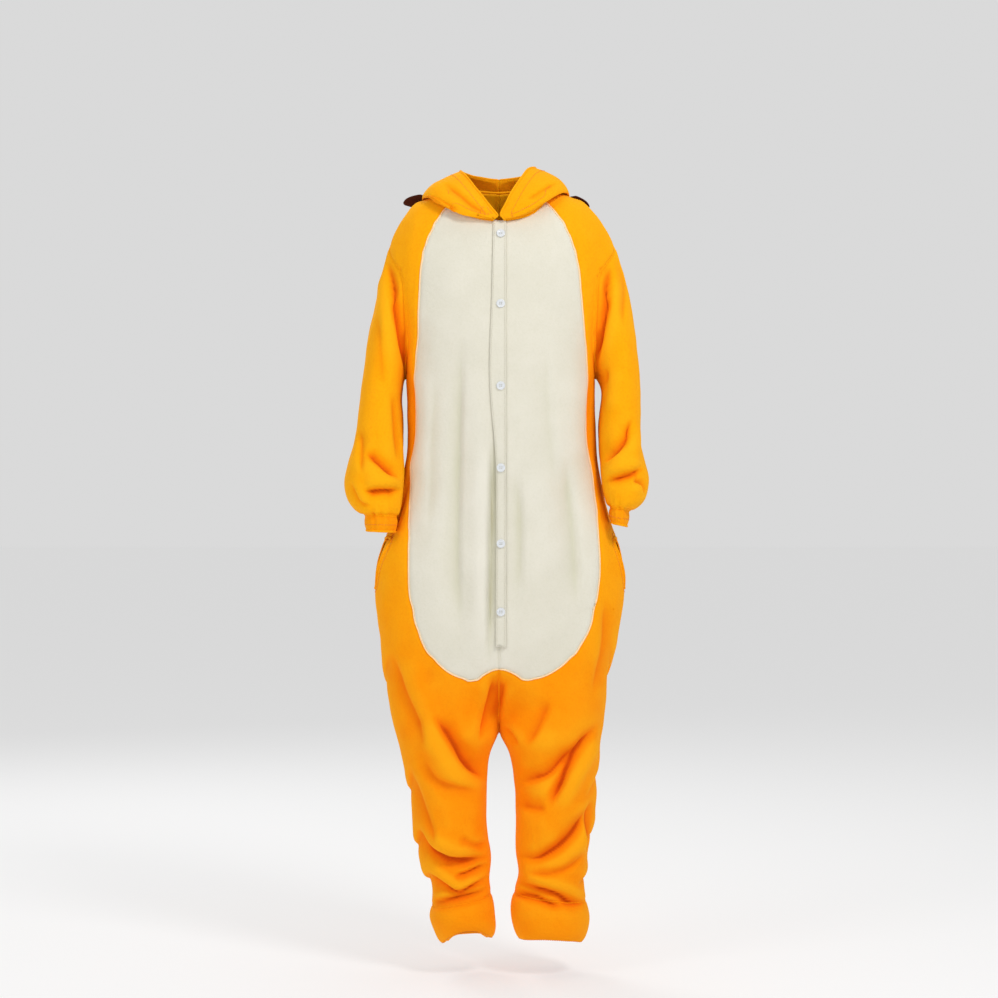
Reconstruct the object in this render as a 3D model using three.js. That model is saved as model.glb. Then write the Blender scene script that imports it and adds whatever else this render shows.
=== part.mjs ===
// A hooded one-piece costume of brushed fleece, worn by nobody: orange body, sleeves and legs, a cream
// belly with a button band, a hood lying open on the shoulders and a brown mane under it.
// Millimetres, +Z up, front towards -Y, the wearer's left towards +X.
// The origin lies between the shoulders, where the wearer carries the garment.
import * as THREE from "three";

// Driving dimensions
const WALL = 2.4;
const BUTTON_WALL = 2.6;
const SEAM_INSET = 0.15;
const LAID_GAP = 0.45;
const CLEAR_OF_BODY = 4.5;
const CHEST_Z = -150;
const UNDERARM_Z = -322;
const MOUTH_TOP_Z = -600;
const MOUTH_LOW_Z = -690;
const BELLY_LOW_Z = -800;
const CROTCH_Z = -949;
const LEG_BLEND_TOP_Z = -812;
const ANKLE_SEAM_Z = -1243;
const TRUNK_ROUND = 2.4;
const LEG_ROUND = 2.15;
const SLEEVE_ROUND = 2.2;
const BUTTON_RADIUS = 7.6;
const BUTTON_EDGE = 0.8;
const BUTTON_RIM = 1.8;
const BUTTON_DISH = 0.8;
const BUTTON_SHIFT = 3;
const BUTTON_HEIGHTS = [-69, -193, -336, -478, -609, -727];

// Columns of cloth: the belly, the orange strip beside it and the back
const BELLY_COLUMNS = 7;
const STRIP_COLUMNS = 5;
const SHOULDER_STEPS = 4;
const BACK_COLUMNS = 10;
const LIP_COLUMN = 3;
const FRONT_COLUMNS = BELLY_COLUMNS + STRIP_COLUMNS;
const YOKE_ROWS = 6;

const ORANGE = new THREE.MeshStandardMaterial({ color: 0xff9a0c, roughness: 0.95, metalness: 0 });
const CREAM = new THREE.MeshStandardMaterial({ color: 0xdedac8, roughness: 0.95, metalness: 0 });
const BROWN = new THREE.MeshStandardMaterial({ color: 0x3a1408, roughness: 0.95, metalness: 0 });
const PEARL = new THREE.MeshStandardMaterial({ color: 0xe1e4e4, roughness: 0.35, metalness: 0 });

// Sections of the body and legs: how far it reaches to the side, front and back, and the leg's inner edge
const BODY = table("z rightOut leftOut front back rightIn leftIn", [
  [-150, 182, 188, 112, 98, 0, 0],
  [-200, 177, 183, 119, 104, 0, 0],
  [-250, 171, 176, 123, 108, 0, 0],
  [-322, 165, 170, 127, 112, 0, 0],
  [-400, 163, 171, 130, 113, 0, 0],
  [-460, 165, 174, 132, 114, 0, 0],
  [-527, 178, 186, 134, 117, 0, 0],
  [-575, 190, 200, 135, 121, 0, 0],
  [-610, 205, 212, 136, 126, 0, 0],
  [-650, 221, 223, 136, 132, 0, 0],
  [-719, 219, 221, 134, 138, 0, 0],
  [-783, 212, 212, 130, 138, 0, 0],
  [-847, 205, 195, 124, 134, 0, 0],
  [-900, 196, 192, 116, 128, 0, 0],
  [-949, 184, 183, 107, 118, 0, 0],
  [-975, 178, 180, 103, 112, 14, 15],
  [-1018, 166, 178, 96, 102, 19, 24],
  [-1061, 160, 174, 91, 96, 20, 28],
  [-1125, 152, 168, 85, 90, 20, 27],
  [-1168, 148, 158, 81, 88, 14, 29],
  [-1189, 138, 157, 76, 82, 14, 34],
  [-1212, 116, 152, 66, 70, 17, 34],
  [-1243, 120, 155, 68, 72, 13, 24],
]);

// The seam between belly and orange, by its distance from the centre front
const BELLY_SEAM = table("z right left", [
  [-150, 141, 144],
  [-235, 144, 152],
  [-276, 148, 157],
  [-360, 151, 159],
  [-443, 155, 162],
  [-527, 160, 169],
  [-586, 160, 174],
  [-652, 157, 176],
  [-694, 155, 172],
  [-736, 148, 163],
  [-778, 133, 146],
  [-800, 120, 131],
]);

// The rounded lower edge of the belly: how far it hangs below its corner, across the panel
const LOBE_ROWS = 4;
const BELLY_LOBE = table("across drop", [
  [0, 28],
  [0.15, 38],
  [0.36, 49],
  [0.55, 46],
  [0.75, 32],
  [0.9, 15],
  [1, 0],
]);

// The armhole, as a share of the way round from centre front to centre back
const ARMHOLE = table("z front back", [
  [-150, 0.352, 0.655],
  [-200, 0.357, 0.65],
  [-250, 0.374, 0.634],
  [-295, 0.42, 0.585],
  [-322, 0.5, 0.5],
]);

// The slanted edge of the hand pocket, as a share of the orange strip's width
const LIP_STAND = 5;
const POCKET_UNDER = WALL + 0.9;
const POCKET_DEEP = 7;
const POCKET_LIP = table("z share open", [
  [-545, 0.6, 0],
  [-600, 0.4, 1],
  [-645, 0.58, 1],
  [-690, 0.8, 1],
  [-740, 0.6, 0],
]);

// The neckline from centre front to the neck point, with the way the cloth leaves it
const NECKLINE_FRONT = table("across x y z sideways forward down", [
  [0, 0, -80, -46, 0, 0.38, 0.92],
  [0.3, 28, -79, -43, 0.1, 0.4, 0.91],
  [0.6, 54, -70, -35, 0.35, 0.42, 0.84],
  [0.85, 72, -56, -20, 0.6, 0.45, 0.66],
  [1, 81, -44, -7, 0.68, 0.5, 0.54],
]);

// The shoulder seam from the neck point to the armhole, with the way the cloth leaves it
const SHOULDER = table("across x y z sideways forward down", [
  [0, 80, 2, 24, 0.45, 0.85, 0.28],
  [0.25, 112, 4, 20, 0.25, 0.92, 0.3],
  [0.5, 144, 4, 5, 0.1, 0.92, 0.38],
  [0.75, 178, 3, -33, -0.15, 0.88, 0.46],
  [1, 205, 0, -87, -0.4, 0.76, 0.5],
]);

// The neckline from the neck point to centre back
const NECKLINE_BACK = table("across x y z sideways forward down", [
  [0, 80, 2, 24, 0.45, -0.85, 0.28],
  [0.35, 68, 42, 25, 0.3, -0.75, 0.58],
  [0.7, 38, 66, 22, 0.1, -0.62, 0.78],
  [1, 0, 74, 20, 0, -0.55, 0.83],
]);
const SHOULDER_REACH = { right: 1, left: 1.055 };
const NECK_POINT_X = 80;
const SHOULDER_LONG = 125;
const LEAVE_SHARE = 1.15;
const ARRIVE_SHARE = 0.9;

// The button band: its edge on the wearer's right, and its reach past the centre
const BAND_EDGE = table("z x", [
  [-50, 10],
  [-185, 13],
  [-320, 17],
  [-480, 5],
  [-810, 6],
]);
const BAND_REACH = 12;

// Sleeves: outer and inner points of each ring, its middle and half depth from front to back
const SLEEVE_RIGHT = table("ring outX outZ inX inZ y deep", [
  [0, 205, -87, 165, -322, 0, 92],
  [1, 213, -135, 170, -340, -4, 84],
  [2, 222, -185, 172, -356, -8, 78],
  [3, 231, -235, 170, -376, -12, 74],
  [4, 238, -285, 166, -400, -17, 70],
  [5, 245, -335, 163, -428, -23, 68],
  [6, 250, -380, 161, -454, -29, 66],
  [7, 255, -420, 160, -476, -36, 65],
  [8, 261, -452, 161, -494, -43, 65],
  [9, 270, -482, 163, -511, -49, 65],
  [10, 274, -507, 165, -528, -53, 64],
  [11, 270, -532, 167, -544, -56, 60],
  [12, 256, -553, 172, -558, -58, 52],
  [13, 235, -560, 178, -562, -59, 42],
]);
const SLEEVE_LEFT = table("ring outX outZ inX inZ y deep", [
  [0, 217, -87, 172, -322, 0, 92],
  [1, 225, -130, 181, -338, -4, 84],
  [2, 235, -180, 182, -354, -8, 78],
  [3, 242, -230, 177, -373, -12, 74],
  [4, 246, -278, 173, -395, -17, 70],
  [5, 250, -325, 172, -419, -23, 68],
  [6, 251, -368, 174, -442, -29, 66],
  [7, 249, -408, 176, -462, -36, 65],
  [8, 251, -442, 177, -479, -43, 65],
  [9, 262, -474, 179, -495, -49, 65],
  [10, 266, -500, 181, -511, -53, 64],
  [11, 261, -525, 184, -526, -56, 60],
  [12, 249, -546, 190, -541, -58, 52],
  [13, 227, -553, 196, -546, -59, 42],
]);
const SLEEVE_TABLES = { right: SLEEVE_RIGHT, left: SLEEVE_LEFT };
const ARMHOLE_FADE_RINGS = 4;
const EVEN_RINGS = 9;
const CLEAR_RINGS = 1.3;
const SLEEVE_CELL_CLEAR = 1.5;

// Wrist cuff below the sleeve's end: how far it drops and swells
const WRIST_CUFF = table("ring drop swell", [
  [0, 0, 0],
  [1, 9, 2],
  [2, 20, 1],
  [3, 27, -2],
]);

// Ankle cuff below the leg's end, with an edge turned up inside
const ANKLE_CUFF = table("ring z rightOut leftOut rightIn leftIn front back", [
  [0, -1243, 120, 155, 13, 24, 68, 72],
  [1, -1258, 124, 161, 8, 19, 73, 77],
  [2, -1275, 120, 162, 7, 19, 74, 78],
  [3, -1294, 114, 159, 4, 23, 71, 76],
  [4, -1310, 107, 154, 6, 28, 65, 72],
  [5, -1318, 99, 147, 13, 35, 57, 65],
  [6, -1311, 92, 140, 20, 42, 50, 58],
]);
const HEM_TILT = { right: { out: -15, in: 9 }, left: { out: -5, in: 12 } };
const HEM_ARCH = { right: 24, left: 8 };

// Hood, lying open: lowest roll, crown and opening edge, from the front ends (0) round to centre back (1)
const HOOD_COLUMNS = "round rollX rollY rollZ crownX crownY crownZ edgeX edgeY edgeZ";
const HOOD_BACK = [
  [0.72, 124, 96, -66, 108, 124, 16, 64, 60, 56],
  [0.86, 68, 122, -180, 66, 174, -44, 38, 92, 52],
  [1, 0, 126, -228, 0, 190, -74, 0, 106, 48],
];
const HOOD_RIGHT = table(HOOD_COLUMNS, [
  [0, 13, -89, -44, 10, -92, -41, 5, -88, -38],
  [0.16, 48, -92, -42, 44, -90, -26, 22, -74, -12],
  [0.32, 96, -80, -28, 84, -74, 6, 42, -52, 16],
  [0.48, 136, -34, 2, 112, -30, 32, 60, -18, 44],
  [0.6, 148, 24, 8, 116, 28, 46, 70, 20, 54],
  ...HOOD_BACK,
]);
const HOOD_LEFT = table(HOOD_COLUMNS, [
  [0, 13, -89, -44, 10, -92, -40, 5, -88, -36],
  [0.16, 40, -92, -40, 38, -90, -14, 20, -72, 3],
  [0.32, 80, -80, -14, 74, -72, 16, 38, -50, 30],
  [0.48, 124, -34, 14, 102, -30, 40, 54, -20, 55],
  [0.6, 136, 24, 14, 112, 28, 48, 66, 18, 59],
  ...HOOD_BACK,
]);
const HOOD_TABLES = { right: HOOD_RIGHT, left: HOOD_LEFT };
const HOOD_STEPS_ACROSS = 15;
const HOOD_SEAM_LIFT = 0.45;
const HOOD_CLEAR = 6;
const HOOD_CELL_CLEAR = 5;
const HOOD_FROM_CENTRE = 4;
const HOOD_TURN = 0.4;
const HOOD_TURN_OUT = 0.06;
const HOOD_CLEAR_STEPS = 2;
const HOOD_STEP_GROWTH = 1.45;

// Mane: roots under the hood's roll, and the way, length and height of its pointed locks
const MANE = table("round rootX rootY rootZ wayX wayY wayZ length stand", [
  [0, 130, 24, 14, 130, 17, -60, 30, 5],
  [0.2, 136, 52, 2, 136, 22, -84, 44, 0],
  [0.3, 136, 66, -4, 136, 25, -96, 50, 0],
  [0.6, 106, 98, -84, 106, 32, -132, 58, 0],
  [1, 8, 118, -196, 8, 36, -180, 78, 0],
]);
const MANE_COLUMNS = 20;
const MANE_ROWS = 4;
const LOCK_COLUMNS = 4;
const LOCK_NOTCH = 0.75;
const LOCK_POINT = 1.3;
const MANE_CLEAR = 1;

// The largest folds: seen from the front or back, x is positive towards the wearer's left
const FOLDS = [
  fold("front", 7, 20, [[-66, -300], [-71, -420], [-74, -640], [-66, -770]]),
  fold("front", 5, 15, [[24, -470], [30, -570], [28, -720]]),
  fold("front", 6, 18, [[115, -480], [128, -600], [134, -708]]),
  fold("front", 9, 15, [[-136, -800], [-105, -900], [-77, -956], [-24, -1024]]),
  fold("front", 8, 13, [[-175, -849], [-154, -919], [-128, -1000], [-76, -1036]]),
  fold("front", 8, 13, [[-146, -1046], [-117, -1080], [-100, -1120]]),
  fold("front", 9, 12, [[-134, -1130], [-104, -1160], [-63, -1160], [-23, -1164]]),
  fold("front", 8, 11, [[-88, -1192], [-50, -1190], [-24, -1181]]),
  fold("front", 8, 14, [[36, -1030], [70, -1016], [98, -984], [117, -961]]),
  fold("front", 9, 13, [[143, -964], [122, -999], [108, -1025], [84, -1068], [33, -1067]]),
  fold("front", 9, 13, [[145, -1097], [129, -1121], [112, -1151], [84, -1176], [58, -1190]]),
  fold("front", 11, 13, [[3, -850], [-3, -885], [-16, -912], [-28, -940]]),
  fold("front", 6, 11, [[14, -880], [25, -896], [36, -925]]),
  fold("back", 8, 20, [[-120, -800], [-80, -900], [-30, -960]]),
  fold("back", 8, 20, [[118, -810], [84, -890], [30, -950]]),
  fold("back", 7, 20, [[-60, -470], [-40, -620], [-52, -760]]),
  fold("back", 7, 18, [[70, -500], [56, -640], [64, -780]]),
  fold("back", 8, 14, [[-140, -1060], [-90, -1090], [-30, -1070]]),
  fold("back", 8, 14, [[-130, -1150], [-80, -1170], [-30, -1150]]),
  fold("back", 8, 14, [[145, -1040], [100, -1090], [40, -1100]]),
  fold("back", 8, 13, [[140, -1140], [95, -1165], [45, -1160]]),
];
const SLEEVE_FOLDS = [
  fold("front", 7, 12, [[-232, -440], [-210, -466], [-174, -486]]),
  fold("front", 6, 11, [[-243, -518], [-211, -522], [-174, -520]]),
  fold("front", 7, 12, [[180, -466], [203, -448], [226, -422]]),
  fold("front", 6, 11, [[190, -502], [214, -494], [240, -484]]),
  fold("front", 7, 16, [[-199, -130], [-184, -190], [-174, -250], [-164, -320]]),
  fold("front", 7, 16, [[204, -130], [194, -220], [186, -300]]),
  fold("back", 7, 14, [[-240, -400], [-200, -440], [-172, -430]]),
  fold("back", 7, 14, [[240, -395], [206, -430], [184, -424]]),
  fold("back", 6, 12, [[-250, -480], [-210, -500], [-176, -494]]),
  fold("back", 6, 12, [[246, -470], [214, -492], [188, -486]]),
];

const SIDES = { right: -1, left: 1 };

function table(names, rows) {
  const keys = names.split(" ");
  return rows.map((row) => Object.fromEntries(keys.map((key, i) => [key, row[i]])));
}

function fold(face, depth, width, path) {
  return { face, depth, width, path };
}

function lerp(a, b, t) {
  return a + (b - a) * t;
}

function clamp01(t) {
  return Math.min(1, Math.max(0, t));
}

function smooth(t) {
  const c = clamp01(t);
  return c * c * (3 - 2 * c);
}

// A curve through a table's column that never overshoots its rows
function through(rows, key, value) {
  const sorted = [...rows].sort((a, b) => a[key] - b[key]);
  const xs = sorted.map((row) => row[key]);
  const ys = sorted.map((row) => row[value]);
  const secants = xs.slice(1).map((x, i) => (ys[i + 1] - ys[i]) / (x - xs[i]));
  const slopes = xs.map((_, i) => {
    if (i === 0) return secants[0];
    if (i === xs.length - 1) return secants[i - 1];
    const [before, after] = [secants[i - 1], secants[i]];
    return before * after <= 0 ? 0 : (2 * before * after) / (before + after);
  });
  return (x) => {
    const at = Math.min(xs[xs.length - 1], Math.max(xs[0], x));
    let i = 0;
    while (i < xs.length - 2 && at > xs[i + 1]) i += 1;
    const h = xs[i + 1] - xs[i];
    const t = (at - xs[i]) / h;
    const start = ys[i] * (1 + 2 * t) * (1 - t) ** 2 + slopes[i] * h * t * (1 - t) ** 2;
    return start + ys[i + 1] * t * t * (3 - 2 * t) + slopes[i + 1] * h * t * t * (t - 1);
  };
}

function columnsOf(rows, key) {
  const names = Object.keys(rows[0]).filter((name) => name !== key);
  return Object.fromEntries(names.map((name) => [name, through(rows, key, name)]));
}

const bodyAt = columnsOf(BODY, "z");
const bellySeamAt = columnsOf(BELLY_SEAM, "z");
const lobeAt = columnsOf(BELLY_LOBE, "across").drop;
const armholeAt = columnsOf(ARMHOLE, "z");
const lipAt = columnsOf(POCKET_LIP, "z");
const necklineFrontAt = columnsOf(NECKLINE_FRONT, "across");
const shoulderAt = columnsOf(SHOULDER, "across");
const necklineBackAt = columnsOf(NECKLINE_BACK, "across");
const maneAt = columnsOf(MANE, "round");

function signedPower(value, power) {
  return Math.sign(value) * Math.abs(value) ** power;
}

// A point of the body's section: round is 0 at centre front, 0.5 at the side seam and 1 at centre back
function bodyPoint(side, round, z, sizes = null) {
  const out = sizes ? sizes.out : bodyAt[side + "Out"](z);
  const inner = sizes ? sizes.inner : bodyAt[side + "In"](z);
  const front = sizes ? sizes.front : bodyAt.front(z);
  const back = sizes ? sizes.back : bodyAt.back(z);
  const legness = clamp01((LEG_BLEND_TOP_Z - z) / (LEG_BLEND_TOP_Z - CROTCH_Z)) ** 1.5;
  const depth = round < 0.5 ? front : back;
  const half = Math.PI * round;
  const trunkX = out * Math.abs(Math.sin(half)) ** (2 / TRUNK_ROUND);
  const trunkY = -depth * signedPower(Math.cos(half), 2 / TRUNK_ROUND);
  const turn = 2 * half;
  const legHalf = (out - inner) / 2;
  const legX = inner + legHalf - legHalf * signedPower(Math.cos(turn), 2 / LEG_ROUND);
  const legY = -depth * signedPower(Math.sin(turn), 2 / LEG_ROUND);
  const x = lerp(trunkX, legX, legness);
  return new THREE.Vector3(SIDES[side] * x, lerp(trunkY, legY, legness), z);
}

function bellySeamRound(side, z) {
  const inTrunk = Math.max(z, BELLY_LOW_Z);
  const share = bellySeamAt[side](inTrunk) / bodyAt[side + "Out"](inTrunk);
  const round = Math.asin(share ** (TRUNK_ROUND / 2)) / Math.PI;
  const legRound = (0.5 * BELLY_COLUMNS) / FRONT_COLUMNS;
  return lerp(round, legRound, smooth((BELLY_LOW_Z - z) / (BELLY_LOW_Z - CROTCH_Z)));
}

function sideRounds(z) {
  if (z <= UNDERARM_Z) return { front: 0.5, back: 0.5 };
  return { front: armholeAt.front(z), back: armholeAt.back(z) };
}

// The share of the orange strip's width at one of its columns; one column follows the pocket's edge
function stripShare(column, z) {
  const lip = lipAt.share(z);
  if (column <= LIP_COLUMN) return (lip * column) / LIP_COLUMN;
  return lerp(lip, 1, (column - LIP_COLUMN) / (STRIP_COLUMNS - LIP_COLUMN));
}

function frontRound(side, column, z) {
  const seam = bellySeamRound(side, z);
  if (column <= BELLY_COLUMNS) return (seam * column) / BELLY_COLUMNS;
  return lerp(seam, sideRounds(z).front, stripShare(column - BELLY_COLUMNS, z));
}

function backRound(column, z) {
  return lerp(sideRounds(z).back, 1, column / BACK_COLUMNS);
}

// Heights of the rows below the yoke
function rowHeights() {
  const heights = [CHEST_Z];
  const marks = {};
  const stretches = [
    ["underarm", UNDERARM_Z, 4],
    ["mouthTop", MOUTH_TOP_Z, 5],
    ["mouthLow", MOUTH_LOW_Z, 3],
    ["bellyLow", BELLY_LOW_Z, 3],
    ["crotch", CROTCH_Z, 4],
    ["calf", -1189, 9],
    ["pinch", -1212, 1],
    ["hem", ANKLE_SEAM_Z, 1],
  ];
  for (const [mark, to, steps] of stretches) {
    const from = heights[heights.length - 1];
    for (let i = 1; i <= steps; i += 1) heights.push(lerp(from, to, i / steps));
    marks[mark] = YOKE_ROWS + heights.length - 1;
  }
  return { heights, marks };
}
const { heights: ROW_Z, marks: ROW } = rowHeights();
const LAST_ROW = ROW.hem;

// How far a row hangs below its height, where the belly's rounded edge bends the rows
function lobeDrop(column, row) {
  if (column >= BELLY_COLUMNS) return 0;
  const away = Math.abs(row - ROW.bellyLow) / LOBE_ROWS;
  return lobeAt(column / BELLY_COLUMNS) * smooth(1 - away);
}

function hemTilt(side, round, share) {
  const turn = 2 * Math.PI * round;
  const { out, in: inner } = HEM_TILT[side];
  const level = lerp(inner, out, (1 - Math.cos(turn)) / 2);
  return level * share;
}

// The top edge of the front and back, with the way the cloth leaves it
function topEdge(side, face, column) {
  const forward = face === "front" ? 1 : -1;
  let at = shoulderAt;
  let across = 0;
  let flip = forward;
  if (face === "front" && column <= BELLY_COLUMNS) {
    at = necklineFrontAt;
    across = column / BELLY_COLUMNS;
    flip = 1;
  } else if (face === "front") {
    across = (column - BELLY_COLUMNS - 1) / SHOULDER_STEPS;
  } else if (column <= SHOULDER_STEPS) {
    across = 1 - column / SHOULDER_STEPS;
  } else {
    at = necklineBackAt;
    across = (column - SHOULDER_STEPS) / (BACK_COLUMNS - SHOULDER_STEPS);
    flip = 1;
  }
  const outward = clamp01((at.x(across) - NECK_POINT_X) / SHOULDER_LONG);
  const widen = lerp(1, SHOULDER_REACH[side], outward);
  const sign = SIDES[side];
  return {
    point: new THREE.Vector3(sign * at.x(across) * widen, at.y(across), at.z(across)),
    way: new THREE.Vector3(
      sign * at.sideways(across),
      -flip * at.forward(across),
      -at.down(across),
    ).normalize(),
  };
}

function panelPoint(side, face, column, row) {
  const roundAt = (z) => (face === "front" ? frontRound(side, column, z) : backRound(column, z));
  if (row >= YOKE_ROWS) {
    const base = ROW_Z[row - YOKE_ROWS];
    const drop = face === "front" ? lobeDrop(column, row) : 0;
    const z = base - drop;
    const round = roundAt(base);
    const point = bodyPoint(side, round, z);
    const share = clamp01((row - ROW.calf + 1) / (LAST_ROW - ROW.calf + 1));
    point.z += hemTilt(side, round, share);
    return point;
  }
  const { point: top, way } = topEdge(side, face, column);
  const chest = bodyPoint(side, roundAt(CHEST_Z), CHEST_Z);
  const below = bodyPoint(side, roundAt(CHEST_Z - 10), CHEST_Z - 10);
  const reach = top.distanceTo(chest);
  const leave = way.multiplyScalar(reach * LEAVE_SHARE);
  const arrive = below.sub(chest).normalize().multiplyScalar(reach * ARRIVE_SHARE);
  const t = row / YOKE_ROWS;
  const a = 2 * t ** 3 - 3 * t ** 2 + 1;
  const b = t ** 3 - 2 * t ** 2 + t;
  return new THREE.Vector3()
    .addScaledVector(top, a)
    .addScaledVector(leave, b)
    .addScaledVector(chest, 1 - a)
    .addScaledVector(arrive, t ** 3 - t ** 2);
}

// A sheet is a grid of points with four-cornered cells; keep says which cells are cloth
function makeSheet(columns, rows, pointAt, outwardFlip, labelAt = () => "all") {
  const points = [];
  for (let r = 0; r <= rows; r += 1) for (let c = 0; c <= columns; c += 1) points.push(pointAt(c, r));
  const cells = [];
  for (let r = 0; r < rows; r += 1) {
    for (let c = 0; c < columns; c += 1) {
      const label = labelAt(c, r);
      if (!label) continue;
      const a = r * (columns + 1) + c;
      const corners = [a, a + 1, a + columns + 2, a + columns + 1];
      cells.push({ corners: outwardFlip ? corners.reverse() : corners, label });
    }
  }
  return { points, cells, columns, rows };
}

const CLEARING_PASSES = 6;
const BESIDE_EDGE = 0.75;
const DEEPEST_MOVE = 80;
const KEY_STEP = 0.02;
function keyOf(point) {
  return [point.x, point.y, point.z].map((v) => Math.round(v / KEY_STEP)).join(",");
}

// Normals shared by all sheets that meet, so that walls meet at mitred edges
function sharedNormals(sheets) {
  const sums = new Map();
  for (const { points, cells } of sheets) {
    for (const { corners } of cells) {
      const [a, b, c, d] = corners.map((i) => points[i]);
      const normal = c.clone().sub(a).cross(d.clone().sub(b));
      for (const corner of [a, b, c, d]) {
        const key = keyOf(corner);
        if (!sums.has(key)) sums.set(key, new THREE.Vector3());
        sums.get(key).add(normal);
      }
    }
  }
  for (const sheet of sheets) {
    sheet.normals = sheet.points.map((point) => {
      const sum = sums.get(keyOf(point));
      return sum ? sum.clone().normalize() : new THREE.Vector3(0, 0, 1);
    });
  }
}

function distanceToPath(x, z, path) {
  let best = { distance: Infinity, along: 0 };
  const lengths = path.slice(1).map(([px, pz], i) => Math.hypot(px - path[i][0], pz - path[i][1]));
  const whole = lengths.reduce((sum, length) => sum + length, 0);
  let before = 0;
  lengths.forEach((length, i) => {
    const [[ax, az], [bx, bz]] = [path[i], path[i + 1]];
    const t = clamp01(((x - ax) * (bx - ax) + (z - az) * (bz - az)) / length ** 2);
    const distance = Math.hypot(x - lerp(ax, bx, t), z - lerp(az, bz, t));
    if (distance < best.distance) best = { distance, along: (before + t * length) / whole };
    before += length;
  });
  return best;
}

// How far the folds press a point of the cloth in
function foldDepth(point, normal, folds) {
  let depth = 0;
  for (const { face, depth: most, width, path } of folds) {
    const facing = face === "front" ? -normal.y : normal.y;
    if (facing <= 0.1) continue;
    const { distance, along } = distanceToPath(point.x, point.z, path);
    const taper = smooth(Math.min(along, 1 - along) * 5 + 0.25);
    depth += most * taper * Math.sqrt(facing) * Math.exp(-((distance / width) ** 2));
  }
  return depth;
}

function pressFolds(sheets, folds) {
  sharedNormals(sheets);
  for (const sheet of sheets) {
    sheet.points = sheet.points.map((point, i) => {
      const normal = sheet.normals[i];
      return point.clone().addScaledVector(normal, -foldDepth(point, normal, folds));
    });
  }
}

// Triangles of the chosen cells of a sheet
function trianglesOf(sheet, keep = () => true) {
  return sheet.cells.filter((cell) => keep(cell.label)).flatMap(({ corners }) => {
    const [a, b, c, d] = corners.map((i) => sheet.points[i]);
    return [new THREE.Triangle(a, b, c), new THREE.Triangle(a, c, d)];
  });
}

// How far a point lies outside the nearest triangle, with the way that triangle faces
function placeAbove(point, triangles) {
  const nearest = new THREE.Vector3();
  const best = new THREE.Vector3();
  let shortest = Infinity;
  let normal = null;
  for (const triangle of triangles) {
    triangle.closestPointToPoint(point, nearest);
    const distance = nearest.distanceTo(point);
    if (distance < shortest) {
      shortest = distance;
      best.copy(nearest);
      normal = triangle.getNormal(new THREE.Vector3());
    }
  }
  const outside = point.clone().sub(best).dot(normal);
  return { outside, normal, besideEdge: Math.abs(outside) < BESIDE_EDGE * shortest };
}

// Moves a point out of the space within gap of the triangles' outer side
function movedClear(point, triangles, gap) {
  const { outside, normal, besideEdge } = placeAbove(point, triangles);
  if (besideEdge || outside >= gap || outside < -DEEPEST_MOVE) return point;
  return point.clone().addScaledVector(normal, gap - outside);
}

// Lays a point on the triangles' outer side, gap away from it
function laidOn(point, triangles, gap) {
  const { outside, normal, besideEdge } = placeAbove(point, triangles);
  return besideEdge ? point : point.clone().addScaledVector(normal, gap - outside);
}

// Moves the corners of each cell until its middle and edges are clear of the triangles too
function settleClear(sheet, triangles, gap, isFixed) {
  for (let pass = 0; pass < CLEARING_PASSES; pass += 1) {
    for (const { corners } of sheet.cells) {
      const spots = corners.map((i, n) => [i, corners[(n + 1) % 4]]);
      spots.push(corners);
      for (const spot of spots) {
        const middle = new THREE.Vector3();
        spot.forEach((i) => middle.addScaledVector(sheet.points[i], 1 / spot.length));
        const shift = movedClear(middle, triangles, gap).clone().sub(middle);
        spot.filter((i) => !isFixed(i)).forEach((i) => sheet.points[i].add(shift));
      }
    }
  }
}

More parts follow.
